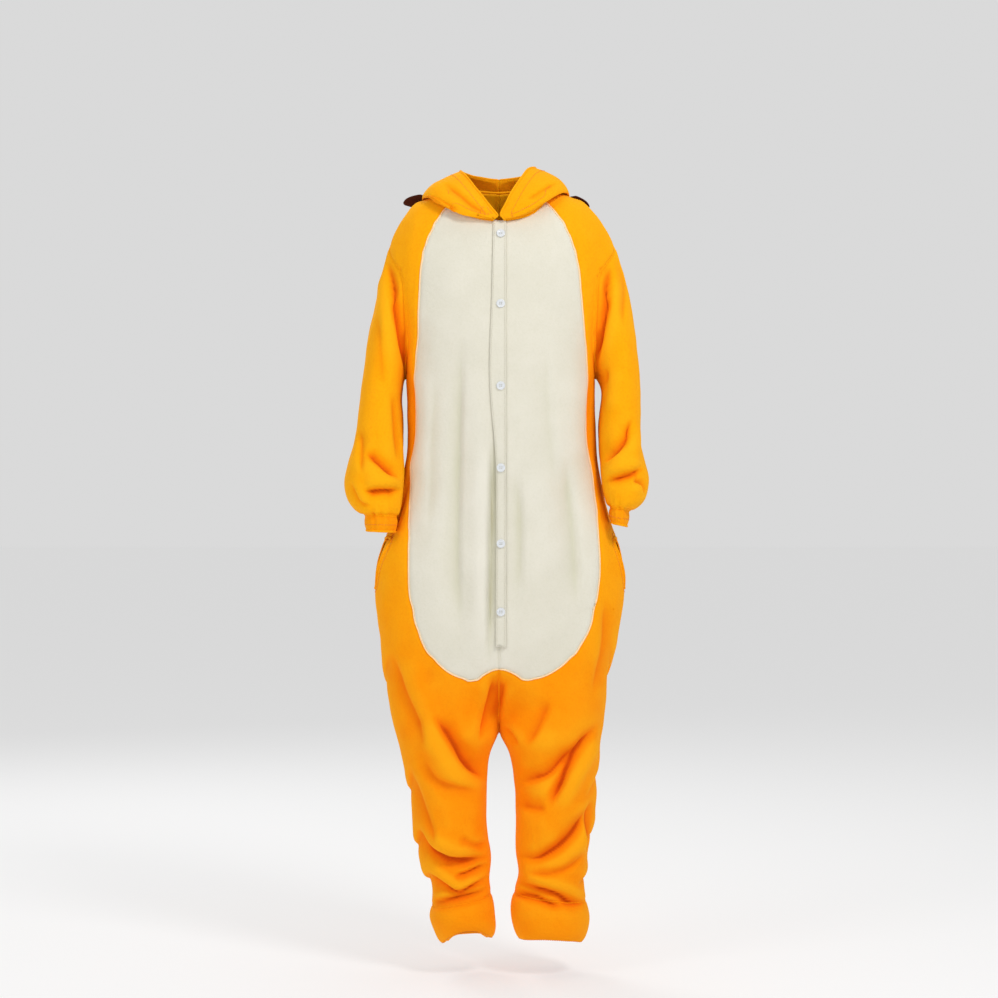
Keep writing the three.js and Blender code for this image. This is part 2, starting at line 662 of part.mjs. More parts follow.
// One closed wall from the cells of a sheet: the outer points, the same moved in, and the edges between
function wallGeometry(sheet, keep, thickness = WALL, lift = 0) {
  const cells = sheet.cells.filter(({ label }) => keep(label));
  const inward = new Map();
  const directed = new Set();
  for (const { corners } of cells) {
    const middle = new THREE.Vector3();
    corners.forEach((i) => middle.addScaledVector(sheet.points[i], 0.25));
    corners.forEach((i, n) => {
      if (!inward.has(i)) inward.set(i, new THREE.Vector3());
      const toMiddle = middle.clone().sub(sheet.points[i]);
      inward.get(i).add(toMiddle.normalize());
      directed.add(i + ">" + corners[(n + 1) % 4]);
    });
  }
  const edges = [...directed]
    .map((edge) => edge.split(">").map(Number))
    .filter(([from, to]) => !directed.has(to + ">" + from));
  const edgeAt = new Map();
  for (const [from, to] of edges) {
    for (const i of [from, to]) {
      if (!edgeAt.has(i)) edgeAt.set(i, []);
      edgeAt.get(i).push(sheet.points[to].clone().sub(sheet.points[from]).normalize());
    }
  }
  const numbers = new Map([...inward.keys()].map((i, n) => [i, n]));
  const outer = [];
  const inner = [];
  for (const i of numbers.keys()) {
    const normal = sheet.normals[i];
    const point = sheet.points[i].clone().addScaledVector(normal, lift);
    if (edgeAt.has(i)) {
      const inset = new THREE.Vector3();
      edgeAt.get(i).forEach((along) => inset.add(normal.clone().cross(along).normalize()));
      const spread = Math.max(0.35, inset.length() / edgeAt.get(i).length);
      point.addScaledVector(inset.normalize(), SEAM_INSET / spread);
    }
    outer.push(point);
    inner.push(point.clone().addScaledVector(normal, -thickness));
  }
  const all = [...outer, ...inner];
  const count = outer.length;
  const faces = [];
  const addFace = (a, b, c, d) => {
    const [pa, pb, pc, pd] = [a, b, c, d].map((n) => all[n % count]);
    if (pa.distanceTo(pc) <= pb.distanceTo(pd)) faces.push(a, b, c, a, c, d);
    else faces.push(a, b, d, b, c, d);
  };
  for (const { corners } of cells) {
    const [a, b, c, d] = corners.map((i) => numbers.get(i));
    addFace(a, b, c, d);
    addFace(d + count, c + count, b + count, a + count);
  }
  for (const [from, to] of edges) {
    const [p, q] = [numbers.get(from), numbers.get(to)];
    const rising = all[p].distanceTo(all[q + count]) < all[q].distanceTo(all[p + count]);
    if (rising) faces.push(q, p, q + count, p, p + count, q + count);
    else faces.push(q, p, p + count, q, p + count, q + count);
  }
  const geometry = new THREE.BufferGeometry();
  geometry.setAttribute("position", new THREE.Float32BufferAttribute(all.flatMap((p) => p.toArray()), 3));
  geometry.setIndex(faces);
  return geometry;
}

const root = new THREE.Group();

function addMesh(name, geometry, material) {
  const mesh = new THREE.Mesh(geometry, material);
  mesh.name = name;
  root.add(mesh);
  return mesh;
}

function addWall(name, sheet, label, material) {
  addMesh(name, wallGeometry(sheet, (own) => own === label), material);
}

// Front and back sheets of each side
function frontLabel(column, row) {
  if (column < BELLY_COLUMNS && row < ROW.bellyLow) return "belly";
  const inMouth = row >= ROW.mouthTop && row < ROW.mouthLow;
  if (inMouth && column >= BELLY_COLUMNS + LIP_COLUMN) return null;
  return "front";
}

function frontSheet(side) {
  const pointAt = (column, row) => panelPoint(side, "front", column, row);
  return makeSheet(FRONT_COLUMNS, LAST_ROW, pointAt, side === "left", frontLabel);
}

function backSheet(side) {
  const pointAt = (column, row) => panelPoint(side, "back", column, row);
  return makeSheet(BACK_COLUMNS, LAST_ROW, pointAt, side === "left", () => "back");
}

// The armhole's edge from the shoulder down the front, under the arm and up the back
function armholeLoop(front, back) {
  const down = [];
  for (let row = 0; row <= ROW.underarm; row += 1) {
    down.push(front.points[row * (FRONT_COLUMNS + 1) + FRONT_COLUMNS]);
  }
  const up = [];
  for (let row = ROW.underarm - 1; row >= 1; row -= 1) up.push(back.points[row * (BACK_COLUMNS + 1)]);
  return [...down, ...up];
}

const RING_STEPS = 2 * ROW.underarm;

// The angle at which each point of the armhole lies on an oval of its height
function armholeAngles(loop) {
  const top = loop[0].z;
  const low = loop[ROW.underarm].z;
  return loop.map((point, step) => {
    const across = 1 - (2 * (top - point.z)) / (top - low);
    const angle = Math.acos(signedPower(across, SLEEVE_ROUND / 2));
    return step <= ROW.underarm ? angle : 2 * Math.PI - angle;
  });
}

function sleeveRingPoint(side, at, ring, angle) {
  const across = signedPower(Math.cos(angle), 2 / SLEEVE_ROUND);
  const deep = signedPower(Math.sin(angle), 2 / SLEEVE_ROUND);
  const share = (1 - across) / 2;
  const x = lerp(at.outX(ring), at.inX(ring), share);
  const z = lerp(at.outZ(ring), at.inZ(ring), share);
  return new THREE.Vector3(SIDES[side] * x, at.y(ring) - at.deep(ring) * deep, z);
}

function sleeveSheet(side, loop, bodyTriangles) {
  const at = columnsOf(SLEEVE_TABLES[side], "ring");
  const rings = SLEEVE_TABLES[side].length - 1;
  const angles = armholeAngles(loop);
  const pointAt = (step, ring) => {
    const k = step % RING_STEPS;
    const even = (2 * Math.PI * k) / RING_STEPS;
    const angle = lerp(angles[k], even, smooth(ring / EVEN_RINGS));
    const point = sleeveRingPoint(side, at, ring, angle);
    const fade = clamp01(1 - ring / ARMHOLE_FADE_RINGS) ** 2;
    const start = sleeveRingPoint(side, at, 0, angles[k]);
    point.addScaledVector(loop[k].clone().sub(start), fade);
    if (ring === 0) return loop[k].clone();
    return movedClear(point, bodyTriangles, CLEAR_OF_BODY * Math.min(1, ring / CLEAR_RINGS));
  };
  const sheet = closeRings(makeSheet(RING_STEPS, rings, pointAt, side === "right"));
  settleClear(sheet, bodyTriangles, SLEEVE_CELL_CLEAR, (i) => i <= RING_STEPS);
  return sheet;
}

// Joins the last column of a sheet to its first, so that it is a tube
function closeRings(sheet) {
  const width = sheet.columns + 1;
  const weld = (i) => (i % width === sheet.columns ? i - sheet.columns : i);
  sheet.cells.forEach((cell) => {
    cell.corners = cell.corners.map(weld);
  });
  return sheet;
}

function wristCuffSheet(side, sleeve, bodyTriangles) {
  const at = columnsOf(WRIST_CUFF, "ring");
  const width = RING_STEPS + 1;
  const end = sleeve.points.slice(-width);
  const middle = new THREE.Vector3();
  end.slice(0, RING_STEPS).forEach((point) => middle.addScaledVector(point, 1 / RING_STEPS));
  const pointAt = (step, ring) => {
    const point = end[step % RING_STEPS].clone();
    const away = point.clone().sub(middle).setZ(0).normalize();
    point.addScaledVector(away, at.swell(ring));
    point.z -= at.drop(ring);
    return ring === 0 ? point : movedClear(point, bodyTriangles, CLEAR_OF_BODY);
  };
  return closeRings(makeSheet(RING_STEPS, WRIST_CUFF.length - 1, pointAt, side === "right"));
}

// The leg's end runs round from the inseam by the front to the back
function ankleCuffSheet(side) {
  const at = columnsOf(ANKLE_CUFF, "ring");
  const steps = FRONT_COLUMNS + BACK_COLUMNS;
  const roundAt = (step) => {
    if (step <= FRONT_COLUMNS) return frontRound(side, step, ANKLE_SEAM_Z);
    return backRound(step - FRONT_COLUMNS, ANKLE_SEAM_Z);
  };
  const pointAt = (step, ring) => {
    const round = roundAt(step % steps);
    const sizes = {
      out: at[side + "Out"](ring),
      inner: at[side + "In"](ring),
      front: at.front(ring),
      back: at.back(ring),
    };
    const point = bodyPoint(side, round, at.z(ring), sizes);
    const low = ring / (ANKLE_CUFF.length - 1);
    point.z += hemTilt(side, round, 1 - 0.75 * low);
    const inFront = Math.max(0, Math.sin(2 * Math.PI * round));
    point.z += HEM_ARCH[side] * inFront ** 2 * smooth(low * 1.3);
    return point;
  };
  return closeRings(makeSheet(steps, ANKLE_CUFF.length - 1, pointAt, side === "left"));
}

// The hood follows the neckline, rolls out over the shoulders and comes back to its opening edge
function hoodSheet(side, front, back, below) {
  const hoodAt = columnsOf(HOOD_TABLES[side], "round");
  const seam = [];
  for (let c = 1; c <= BELLY_COLUMNS + 1; c += 1) seam.push(front.points[c]);
  for (let c = SHOULDER_STEPS + 1; c <= BACK_COLUMNS; c += 1) seam.push(back.points[c]);
  const sign = SIDES[side];
  const last = seam.length - 1;
  const curves = seam.map((start, step) => {
    const round = step / last;
    const spot = (name) =>
      new THREE.Vector3(
        sign * hoodAt[name + "X"](round),
        hoodAt[name + "Y"](round),
        hoodAt[name + "Z"](round),
      );
    const lifted = start.clone().add(new THREE.Vector3(0, 0, HOOD_SEAM_LIFT));
    const [roll, crown, edge] = [spot("roll"), spot("crown"), spot("edge")];
    const under = lifted.clone().lerp(roll, 0.5);
    const outward = roll.clone().sub(lifted).multiplyScalar(HOOD_TURN_OUT);
    const turned = roll.clone().lerp(crown, HOOD_TURN).add(outward);
    return new THREE.CatmullRomCurve3([lifted, under, roll, turned, crown, edge], false, "centripetal");
  });
  const pointAt = (step, across) => {
    const point = curves[step].getPoint((across / HOOD_STEPS_ACROSS) ** HOOD_STEP_GROWTH);
    if (across === 0) return point;
    return movedClear(point, below, HOOD_CLEAR * Math.min(1, across / HOOD_CLEAR_STEPS));
  };
  const sheet = makeSheet(last, HOOD_STEPS_ACROSS, pointAt, side === "right");
  settleClear(sheet, below, HOOD_CELL_CLEAR, (i) => i <= 2 * last + 1);
  sheet.points.forEach((point, i) => {
    if (i % (last + 1) !== last) point.x = sign * Math.max(HOOD_FROM_CENTRE, sign * point.x);
  });
  return sheet;
}

// The last columns of both halves become one seam line
function joinAtCentre(right, left) {
  for (let i = right.columns; i < right.points.length; i += right.columns + 1) {
    const middle = right.points[i].clone().lerp(left.points[i], 0.5).setX(0);
    right.points[i].copy(middle);
    left.points[i].copy(middle);
  }
}

// The mane is a row of pointed locks cut in one piece, lying on the shoulders and back
function maneSheet(side, bodyTriangles) {
  const sign = SIDES[side];
  const pointAt = (column, row) => {
    const round = column / MANE_COLUMNS;
    const root = new THREE.Vector3(sign * maneAt.rootX(round), maneAt.rootY(round), maneAt.rootZ(round));
    const phase = (column % LOCK_COLUMNS) / LOCK_COLUMNS;
    const scallop = 1 - LOCK_NOTCH * Math.abs(2 * phase - 1) ** LOCK_POINT;
    const way = new THREE.Vector3(sign * maneAt.wayX(round), maneAt.wayY(round), maneAt.wayZ(round));
    const share = row / MANE_ROWS;
    const point = root.addScaledVector(way.normalize(), maneAt.length(round) * scallop * share);
    const standing = maneAt.stand(round) * share;
    return laidOn(point, bodyTriangles, WALL + MANE_CLEAR + standing);
  };
  const sheet = makeSheet(MANE_COLUMNS, MANE_ROWS, pointAt, side === "left");
  settleClear(sheet, bodyTriangles, WALL + MANE_CLEAR, () => false);
  return sheet;
}

// The pocket lies under the front, past each edge of its mouth
function pocketSheet(side, front) {
  const firstColumn = BELLY_COLUMNS + LIP_COLUMN - 1;
  const columns = FRONT_COLUMNS - firstColumn;
  const firstRow = ROW.mouthTop - 1;
  const rows = ROW.mouthLow - ROW.mouthTop + 2;
  const pointAt = (column, row) => {
    const i = (firstRow + row) * (FRONT_COLUMNS + 1) + firstColumn + column;
    const inMouth = row > 0 && row < rows && column < columns;
    const depth = inMouth ? POCKET_UNDER + POCKET_DEEP : POCKET_UNDER;
    return front.points[i].clone().addScaledVector(front.normals[i], -depth);
  };
  return makeSheet(columns, rows, pointAt, side === "left");
}

// The band lies on the belly, from its points moved out
function placketSheet(rightFront, leftFront) {
  const width = FRONT_COLUMNS + 1;
  const rows = ROW.bellyLow - 1;
  const edgeAt = columnsOf(BAND_EDGE, "z");
  const pointAt = (column, row) => {
    const centre = leftFront.points[row * width];
    const sheet = column === 0 ? rightFront : leftFront;
    const beside = sheet.points[row * width + 1];
    const reach = column === 0 ? edgeAt.x(centre.z) : (BAND_REACH * (column - 1)) / 2;
    const share = reach / Math.abs(beside.x);
    const normal = leftFront.normals[row * width];
    return centre.clone().lerp(beside, share).addScaledVector(normal, LAID_GAP + WALL);
  };
  return makeSheet(3, rows, pointAt, true);
}

function buttonGeometry() {
  const rim = BUTTON_RADIUS;
  const profile = [
    [0, 0],
    [rim - BUTTON_EDGE, 0],
    [rim, BUTTON_EDGE],
    [rim - BUTTON_EDGE, BUTTON_WALL],
    [rim - BUTTON_RIM, BUTTON_WALL],
    [rim - BUTTON_RIM - BUTTON_DISH, BUTTON_WALL - BUTTON_DISH],
    [0, BUTTON_WALL - BUTTON_DISH],
  ].map(([radius, height]) => new THREE.Vector2(radius, height));
  return new THREE.LatheGeometry(profile, 16);
}

// The point of the band's outer side at a height, and the way it faces
function bandSpot(placket, z) {
  const width = placket.columns + 1;
  let row = 0;
  while (row < placket.rows - 1 && placket.points[(row + 1) * width + 1].z > z) row += 1;
  const [a, b] = [placket.points[row * width + 1], placket.points[(row + 1) * width + 1]];
  const share = clamp01((z - a.z) / (b.z - a.z));
  const along = b.clone().sub(a).normalize();
  const facing = new THREE.Vector3(1, 0, 0).cross(along).normalize();
  if (facing.y > 0) facing.negate();
  return { spot: a.clone().lerp(b, share), facing };
}

function addButtons(placket) {
  BUTTON_HEIGHTS.forEach((z, n) => {
    const { spot, facing } = bandSpot(placket, z);
    const mesh = addMesh("button_" + (n + 1), buttonGeometry(), PEARL);
    mesh.quaternion.setFromUnitVectors(new THREE.Vector3(0, 1, 0), facing);
    mesh.position.copy(spot).addScaledVector(facing, LAID_GAP);
    mesh.position.x += BUTTON_SHIFT;
  });
}

// The lip of the pocket's mouth stands a little open
function openPocketLip(front) {
  for (let row = ROW.mouthTop + 1; row < ROW.mouthLow; row += 1) {
    const i = row * (FRONT_COLUMNS + 1) + BELLY_COLUMNS + LIP_COLUMN;
    front.points[i].addScaledVector(front.normals[i], LIP_STAND);
  }
}

function build() {
  const fronts = { right: frontSheet("right"), left: frontSheet("left") };
  const backs = { right: backSheet("right"), left: backSheet("left") };
  const ankles = { right: ankleCuffSheet("right"), left: ankleCuffSheet("left") };
  const trunk = [fronts.right, fronts.left, backs.right, backs.left, ankles.right, ankles.left];
  pressFolds(trunk, FOLDS);
  const bodyTriangles = trunk.flatMap((sheet) => trianglesOf(sheet));
  const sleeves = {};
  for (const side of Object.keys(SIDES)) {
    const loop = armholeLoop(fronts[side], backs[side]);
    sleeves[side] = sleeveSheet(side, loop, bodyTriangles);
  }
  pressFolds(Object.values(sleeves), SLEEVE_FOLDS);
  for (const side of Object.keys(SIDES)) {
    const loop = armholeLoop(fronts[side], backs[side]);
    loop.forEach((point, i) => sleeves[side].points[i].copy(point));
  }
  const wrists = {};
  for (const side of Object.keys(SIDES)) {
    wrists[side] = wristCuffSheet(side, sleeves[side], bodyTriangles);
  }
  sharedNormals([...trunk, ...Object.values(sleeves), ...Object.values(wrists)]);
  Object.values(fronts).forEach(openPocketLip);
  const pockets = { right: pocketSheet("right", fronts.right), left: pocketSheet("left", fronts.left) };
  const hoods = {};
  const manes = {};
  for (const side of Object.keys(SIDES)) {
    manes[side] = maneSheet(side, bodyTriangles);
    const below = [...bodyTriangles, ...trianglesOf(manes[side])];
    hoods[side] = hoodSheet(side, fronts[side], backs[side], below);
  }
  joinAtCentre(hoods.right, hoods.left);
  sharedNormals(Object.values(hoods));
  sharedNormals(Object.values(manes));
  sharedNormals(Object.values(pockets));
  const placket = placketSheet(fronts.right, fronts.left);
  sharedNormals([placket]);
  for (const side of Object.keys(SIDES)) {
    addWall("belly_" + side, fronts[side], "belly", CREAM);
    addWall("front_" + side, fronts[side], "front", ORANGE);
    addWall("back_" + side, backs[side], "back", ORANGE);
    addWall("sleeve_" + side, sleeves[side], "all", ORANGE);
    addWall("wrist_cuff_" + side, wrists[side], "all", ORANGE);
    addWall("ankle_cuff_" + side, ankles[side], "all", ORANGE);
    addWall("hood_" + side, hoods[side], "all", ORANGE);
    addWall("mane_" + side, manes[side], "all", BROWN);
    addWall("pocket_" + side, pockets[side], "all", ORANGE);
  }
  addWall("placket", placket, "all", CREAM);
  addButtons(placket);
}

build();

export default root;
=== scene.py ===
import math
import bmesh
import bpy
import numpy as np
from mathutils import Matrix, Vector, noise
from mathutils.bvhtree import BVHTree
from mathutils.kdtree import KDTree


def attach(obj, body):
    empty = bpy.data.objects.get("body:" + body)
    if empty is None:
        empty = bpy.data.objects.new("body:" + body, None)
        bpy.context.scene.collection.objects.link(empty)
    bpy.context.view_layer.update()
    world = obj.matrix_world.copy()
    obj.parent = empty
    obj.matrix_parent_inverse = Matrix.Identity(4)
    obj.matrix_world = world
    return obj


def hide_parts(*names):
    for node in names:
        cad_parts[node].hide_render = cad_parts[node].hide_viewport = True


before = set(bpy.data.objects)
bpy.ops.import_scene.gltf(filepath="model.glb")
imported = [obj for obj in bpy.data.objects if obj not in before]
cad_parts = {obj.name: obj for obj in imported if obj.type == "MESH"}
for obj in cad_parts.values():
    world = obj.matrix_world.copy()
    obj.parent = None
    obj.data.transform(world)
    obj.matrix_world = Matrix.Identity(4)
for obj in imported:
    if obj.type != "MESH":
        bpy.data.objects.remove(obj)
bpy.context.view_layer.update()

# Cloth: the wall of the frame's nodes, how exactly it is found, the gap that a seam closes,
# and how finely a sheet is divided
WALL = 0.0024
WALL_SLACK = 0.00004
SEAM_GAP = 0.0011
FINE = 3

# Creases: how much stronger than drawn they are pressed, how much of their rise stands up, the steps
# between two points of their line, the share that is pressed from the sides, and from where outwards
CREASE_GAIN = 1.3
RISE_GAIN = 0.6
CURVE_STEPS = 5
SIDE_SHARE = 0.5
SIDE_X = 0.1

# How far cloth must be turned to a side to be pressed from it: where that starts, and where it is whole
TURNED = (0.05, 0.5)

# The form of a crease across its line, in half widths: a steep side, a ridge beyond it, a longer slope, and
# how far the painted shade reaches on the steep side and on the slope
CREASE_REACH = 4.5
STEEP = 0.45
RIDGE_AT = 1.7
RIDGE_WIDE = 1.25
SLOPE = 1.35
SLOPE_POWER = 1.25
STEEP_SHADE = 0.24
SLOPE_SHADE = 0.6

# The share of its length over which a crease fades out, and what is left of it at its very ends
FADE = 0.32
FADE_LEFT = 0.1

# Relief: how widely the cloth is evened to find it, the depth and height that count as full painted shade
# in a hollow and full painted highlight on a crest, the most painted shade in the hollows, and the depth of
# a crease that gets full painted shade
RELIEF_ROUNDS = 36
RELIEF_DEEP = 0.0045
RELIEF_HIGH = 0.0040
RELIEF_SHARE = 0.6
DARK_DEEP = 0.011

# Soft unevenness: the size and height of the swells, and how far each pattern is moved
SWELLS = [(0.075, 0.0024, 0), (0.028, 0.0009, 3)]
HOOD_SWELLS = [(0.06, 0.0025, 0), (0.025, 0.0008, 5)]

# Wrist gathers: how far they reach up the sleeve, and their depth
GATHER_REACH = 0.022
GATHER_DEPTH = 0.0030

# Their pleats, large and small: how many go round, how far the two wrists differ, how fast they change
# along the sleeve, and their strength
PLEATS = [(2.6, 9, 4, 1.3), (6, 5, 8, 1)]

# The heights between which the colour turns from the trunk's to the darker, redder painted shade of the
# legs
WAIST_Z = -0.55
LEG_Z = -0.90

# Seams: the depth and half width of their groove, and of the painted shade in it
SEAM_DEPTH = 0.0022
SEAM_WIDTH = 0.0045
SEAM_SHADE = 0.35
SEAM_SHADE_WIDTH = 0.0022

# Wrist cuffs: the painted shade on them, below the bloused sleeves, as the depth of a crease
CUFF_SHADE = 0.0028

# Mane: how far its front lock stands out and up, and where along X and Y that starts and is whole
MANE_OUT = 0.020
MANE_UP = 0.013
MANE_LEFT_SHARE = 0.45
MANE_X = (0.124, 0.154)
MANE_Y = (0.056, 0.036)

# Hood: how far its two front ends draw together and where, and where it is pressed from behind and in front
HOOD_CLOSE = 0.0038
HOOD_END_X = (0.06, 0.01)
HOOD_END_Z = (-0.008, -0.038)
HOOD_BEHIND_Y = (0.03, 0.06)
HOOD_FRONT_Y = 0.02

# How far the shoulders give way under the hood that lies on them, and where
UNDER_HOOD = 0.0038
COVER_X = (0.150, 0.130)
COVER_Y = (-0.03, -0.01)
COVER_Z = (-0.045, -0.015)

# Sewing: the cord along the belly, the filling of the other seams, the stitches, and the steps along a line
CORD = 0.0015
SEAM_FILL = 0.0016
STITCH = 0.0028
STITCH_GAP = 0.0012
THREAD = 0.0004
FINE_STEP = 0.003
LINE_STEP = 0.004
SEAM_STEP = 0.005

# Hems: the distance of the stitches from the edge, and the radius of the rolled edge
HEM = {"wrist_cuff": 0.012, "ankle_cuff": 0.026, "front": 0.008}
HOOD_HEM = 0.018
BAND_HEM = 0.0024
HEM_ROLL = {"wrist_cuff": 0.0022, "ankle_cuff": 0.0036, "front": 0.0022}
HOOD_ROLL = 0.0022

# The heights between which an open edge of a front is the mouth of a pocket
MOUTH_TOP = -0.5
MOUTH_FOOT = -0.8

# The tack at the foot of the button band: its rows, the points along each, and its place from front to back
BARTACK = [-0.806, -0.8072, -0.8084, -0.8096]
BARTACK_SPAN = [-0.006, -0.002, 0.004, 0.010]
BARTACK_Y = -0.13

# Buttons: their number and radius, the thickness of plate and rim, the holes' radius and distance from the
# centre, the height they stand at, and the threads' radius, depth and rise
BUTTONS = 6
BUTTON = 0.0075
BUTTON_PLATE = 0.0016
BUTTON_RIM = 0.0024
HOLE = 0.0009
HOLE_AT = 0.0016
BUTTON_STAND = 0.0016
BUTTON_THREAD = 0.0004
THREAD_DEEP = -0.0012
THREAD_HIGH = 0.0009

# The camera stands level in front, as far off as the photo's flat look asks
CAMERA_AWAY = 4.5
CAMERA_Z = -0.532
FRAME_WIDTH = 1.7764
SENSOR = 36
FLOOR_Z = -1.375
FLOOR_REACH = 40
FLOOR_TONE = (0.50, 0.50, 0.50, 1)
FLOOR_GLOW = 0.46
WALL_TONE = (0.70, 0.70, 0.70, 1)
CEILING_TONE = (0.42, 0.42, 0.42, 1)

TRUNK = [
    "belly_right", "belly_left", "front_right", "front_left", "back_right", "back_left",
    "sleeve_right", "sleeve_left", "wrist_cuff_right", "wrist_cuff_left",
    "ankle_cuff_right", "ankle_cuff_left",
]
SLEEVES = ["sleeve_right", "sleeve_left", "wrist_cuff_right", "wrist_cuff_left"]
HOOD = ["hood_right", "hood_left"]


def crease(depth, width, rise, path):
    """A crease in the cloth: its depth, its half width, how much the cloth beside it stands over it, and
    its line. A rise above 0 lifts the side on the left hand of the line, below 0 the right."""
    return {"depth": depth, "width": width, "rise": rise, "path": path}


# Creases seen from the front: x towards the wearer's left, z upwards
FRONT_CREASES = [
    # belly
    crease(0.0058, 0.018, 0.5, [(-0.066, -0.24), (-0.071, -0.41), (-0.074, -0.64), (-0.066, -0.776)]),
    crease(0.0085, 0.011, -0.4, [(-0.010, -0.40), (-0.014, -0.60), (-0.017, -0.827)]),
    crease(0.0045, 0.016, 0.5, [(0.028, -0.48), (0.035, -0.57), (0.033, -0.707)]),
    crease(0.0055, 0.018, 0.4, [(0.115, -0.46), (0.130, -0.60), (0.134, -0.728)]),
    crease(0.0026, 0.020, -0.4, [(-0.110, -0.30), (-0.118, -0.44), (-0.122, -0.60)]),
    crease(0.0024, 0.022, 0.4, [(0.080, -0.26), (0.086, -0.40), (0.098, -0.52)]),
    # crotch
    crease(0.0062, 0.008, -0.7, [(-0.009, -0.838), (-0.016, -0.878), (-0.026, -0.920), (-0.030, -0.958)]),
    crease(0.0045, 0.007, 0.6, [(0.010, -0.846), (0.003, -0.884), (-0.008, -0.922)]),
    crease(0.0042, 0.008, 0.5, [(0.007, -0.930), (0.022, -0.946), (0.034, -0.964)]),
    # right leg
    crease(0.0060, 0.015, 0.5, [(-0.190, -0.800), (-0.169, -0.867), (-0.145, -0.917), (-0.128, -0.968)]),
    crease(0.0130, 0.017, -0.8, [(-0.114, -0.905), (-0.079, -0.960), (-0.053, -0.998), (-0.014, -1.029)]),
    crease(0.0055, 0.016, 0.5, [(-0.134, -0.985), (-0.112, -1.020), (-0.078, -1.034), (-0.034, -1.046)]),
    crease(0.0055, 0.016, 0.5, [(-0.160, -1.010), (-0.140, -1.060), (-0.118, -1.110), (-0.106, -1.146)]),
    crease(0.0050, 0.013, 0.5, [(-0.070, -1.121), (-0.044, -1.138), (-0.016, -1.140)]),
    crease(0.0140, 0.013, 0.8, [
        (-0.150, -1.112), (-0.127, -1.143), (-0.104, -1.158),
        (-0.074, -1.167), (-0.014, -1.164),
    ]),
    crease(0.0090, 0.008, 0.6, [(-0.080, -1.196), (-0.053, -1.189), (-0.016, -1.177)]),
    crease(0.0110, 0.009, 0.7, [
        (-0.134, -1.194), (-0.109, -1.204), (-0.074, -1.221),
        (-0.044, -1.211), (-0.014, -1.199),
    ]),
    crease(0.0090, 0.007, 0.6, [(-0.122, -1.250), (-0.105, -1.239), (-0.070, -1.230), (-0.014, -1.220)]),
    # left leg
    crease(0.0100, 0.014, 0.6, [
        (0.146, -0.967), (0.114, -0.989), (0.088, -1.011),
        (0.061, -1.022), (0.030, -1.031),
    ]),
    crease(0.0140, 0.011, 0.8, [
        (0.176, -0.928), (0.149, -0.961), (0.123, -0.998),
        (0.107, -1.033), (0.085, -1.072),
    ]),
    crease(0.0050, 0.014, 0.5, [(0.085, -1.072), (0.061, -1.074), (0.030, -1.068)]),
    crease(0.0125, 0.013, 0.7, [
        (0.156, -1.070), (0.140, -1.108), (0.114, -1.138),
        (0.088, -1.156), (0.061, -1.165), (0.032, -1.156),
    ]),
    crease(0.0080, 0.012, -0.5, [(0.164, -1.060), (0.156, -1.110), (0.160, -1.160)]),
    crease(0.0060, 0.013, 0.5, [(0.150, -1.150), (0.128, -1.176), (0.090, -1.188), (0.050, -1.184)]),
    crease(0.0120, 0.010, 0.7, [
        (0.034, -1.208), (0.070, -1.215), (0.101, -1.224),
        (0.131, -1.239), (0.156, -1.248),
    ]),
    crease(0.0090, 0.007, 0.6, [
        (0.024, -1.236), (0.040, -1.226), (0.061, -1.228),
        (0.088, -1.239), (0.118, -1.247),
    ]),
    crease(0.0060, 0.016, 0.5, [(0.090, -0.880), (0.068, -0.925), (0.046, -0.965)]),
    # sides of the trunk
    crease(0.0050, 0.016, 0.4, [(-0.160, -0.290), (-0.152, -0.380), (-0.158, -0.480)]),
    crease(0.0050, 0.016, -0.4, [(0.166, -0.290), (0.160, -0.390), (0.164, -0.480)]),
    crease(0.0050, 0.018, -0.4, [(0.188, -0.700), (0.184, -0.790), (0.164, -0.880)]),
]

# Creases seen from behind, with x still towards the wearer's left
BACK_CREASES = [
    crease(0.0045, 0.024, 0.4, [(-0.028, -0.30), (-0.046, -0.41), (-0.040, -0.58)]),
    crease(0.0040, 0.020, -0.4, [(0.056, -0.36), (0.066, -0.47), (0.052, -0.63)]),
    crease(0.0045, 0.020, 0.5, [(-0.112, -0.44), (-0.128, -0.55), (-0.118, -0.70)]),
    crease(0.0035, 0.018, 0.5, [(0.120, -0.38), (0.132, -0.47), (0.126, -0.58)]),
    crease(0.0080, 0.017, 0.6, [(-0.150, -0.790), (-0.106, -0.868), (-0.030, -0.944)]),
    crease(0.0070, 0.015, -0.6, [(0.120, -0.826), (0.090, -0.884), (0.046, -0.916)]),
    crease(0.0055, 0.014, 0.5, [(-0.140, -0.925), (-0.096, -0.975), (-0.040, -0.996)]),
    crease(0.0065, 0.015, -0.5, [(0.166, -0.880), (0.130, -0.948), (0.058, -1.004)]),
    crease(0.0070, 0.014, 0.6, [(-0.156, -1.010), (-0.104, -1.062), (-0.026, -1.080)]),
    crease(0.0090, 0.012, 0.7, [(-0.146, -1.104), (-0.100, -1.140), (-0.060, -1.150), (-0.024, -1.142)]),
    crease(0.0075, 0.009, 0.6, [(-0.120, -1.184), (-0.080, -1.204), (-0.034, -1.200)]),
    crease(0.0080, 0.013, -0.6, [(0.158, -1.040), (0.120, -1.072), (0.066, -1.090), (0.034, -1.086)]),
    crease(0.0060, 0.012, -0.5, [(0.150, -1.110), (0.110, -1.122), (0.070, -1.120)]),
    crease(0.0090, 0.011, -0.7, [(0.152, -1.166), (0.108, -1.186), (0.052, -1.180)]),
    crease(0.0080, 0.009, 0.6, [(0.036, -1.206), (0.076, -1.222), (0.128, -1.216)]),
    crease(0.0070, 0.012, 0.5, [(0.004, -0.770), (-0.002, -0.850), (0.003, -0.930)]),
    crease(0.0040, 0.020, 0.4, [(-0.176, -0.62), (-0.166, -0.70), (-0.172, -0.78)]),
]

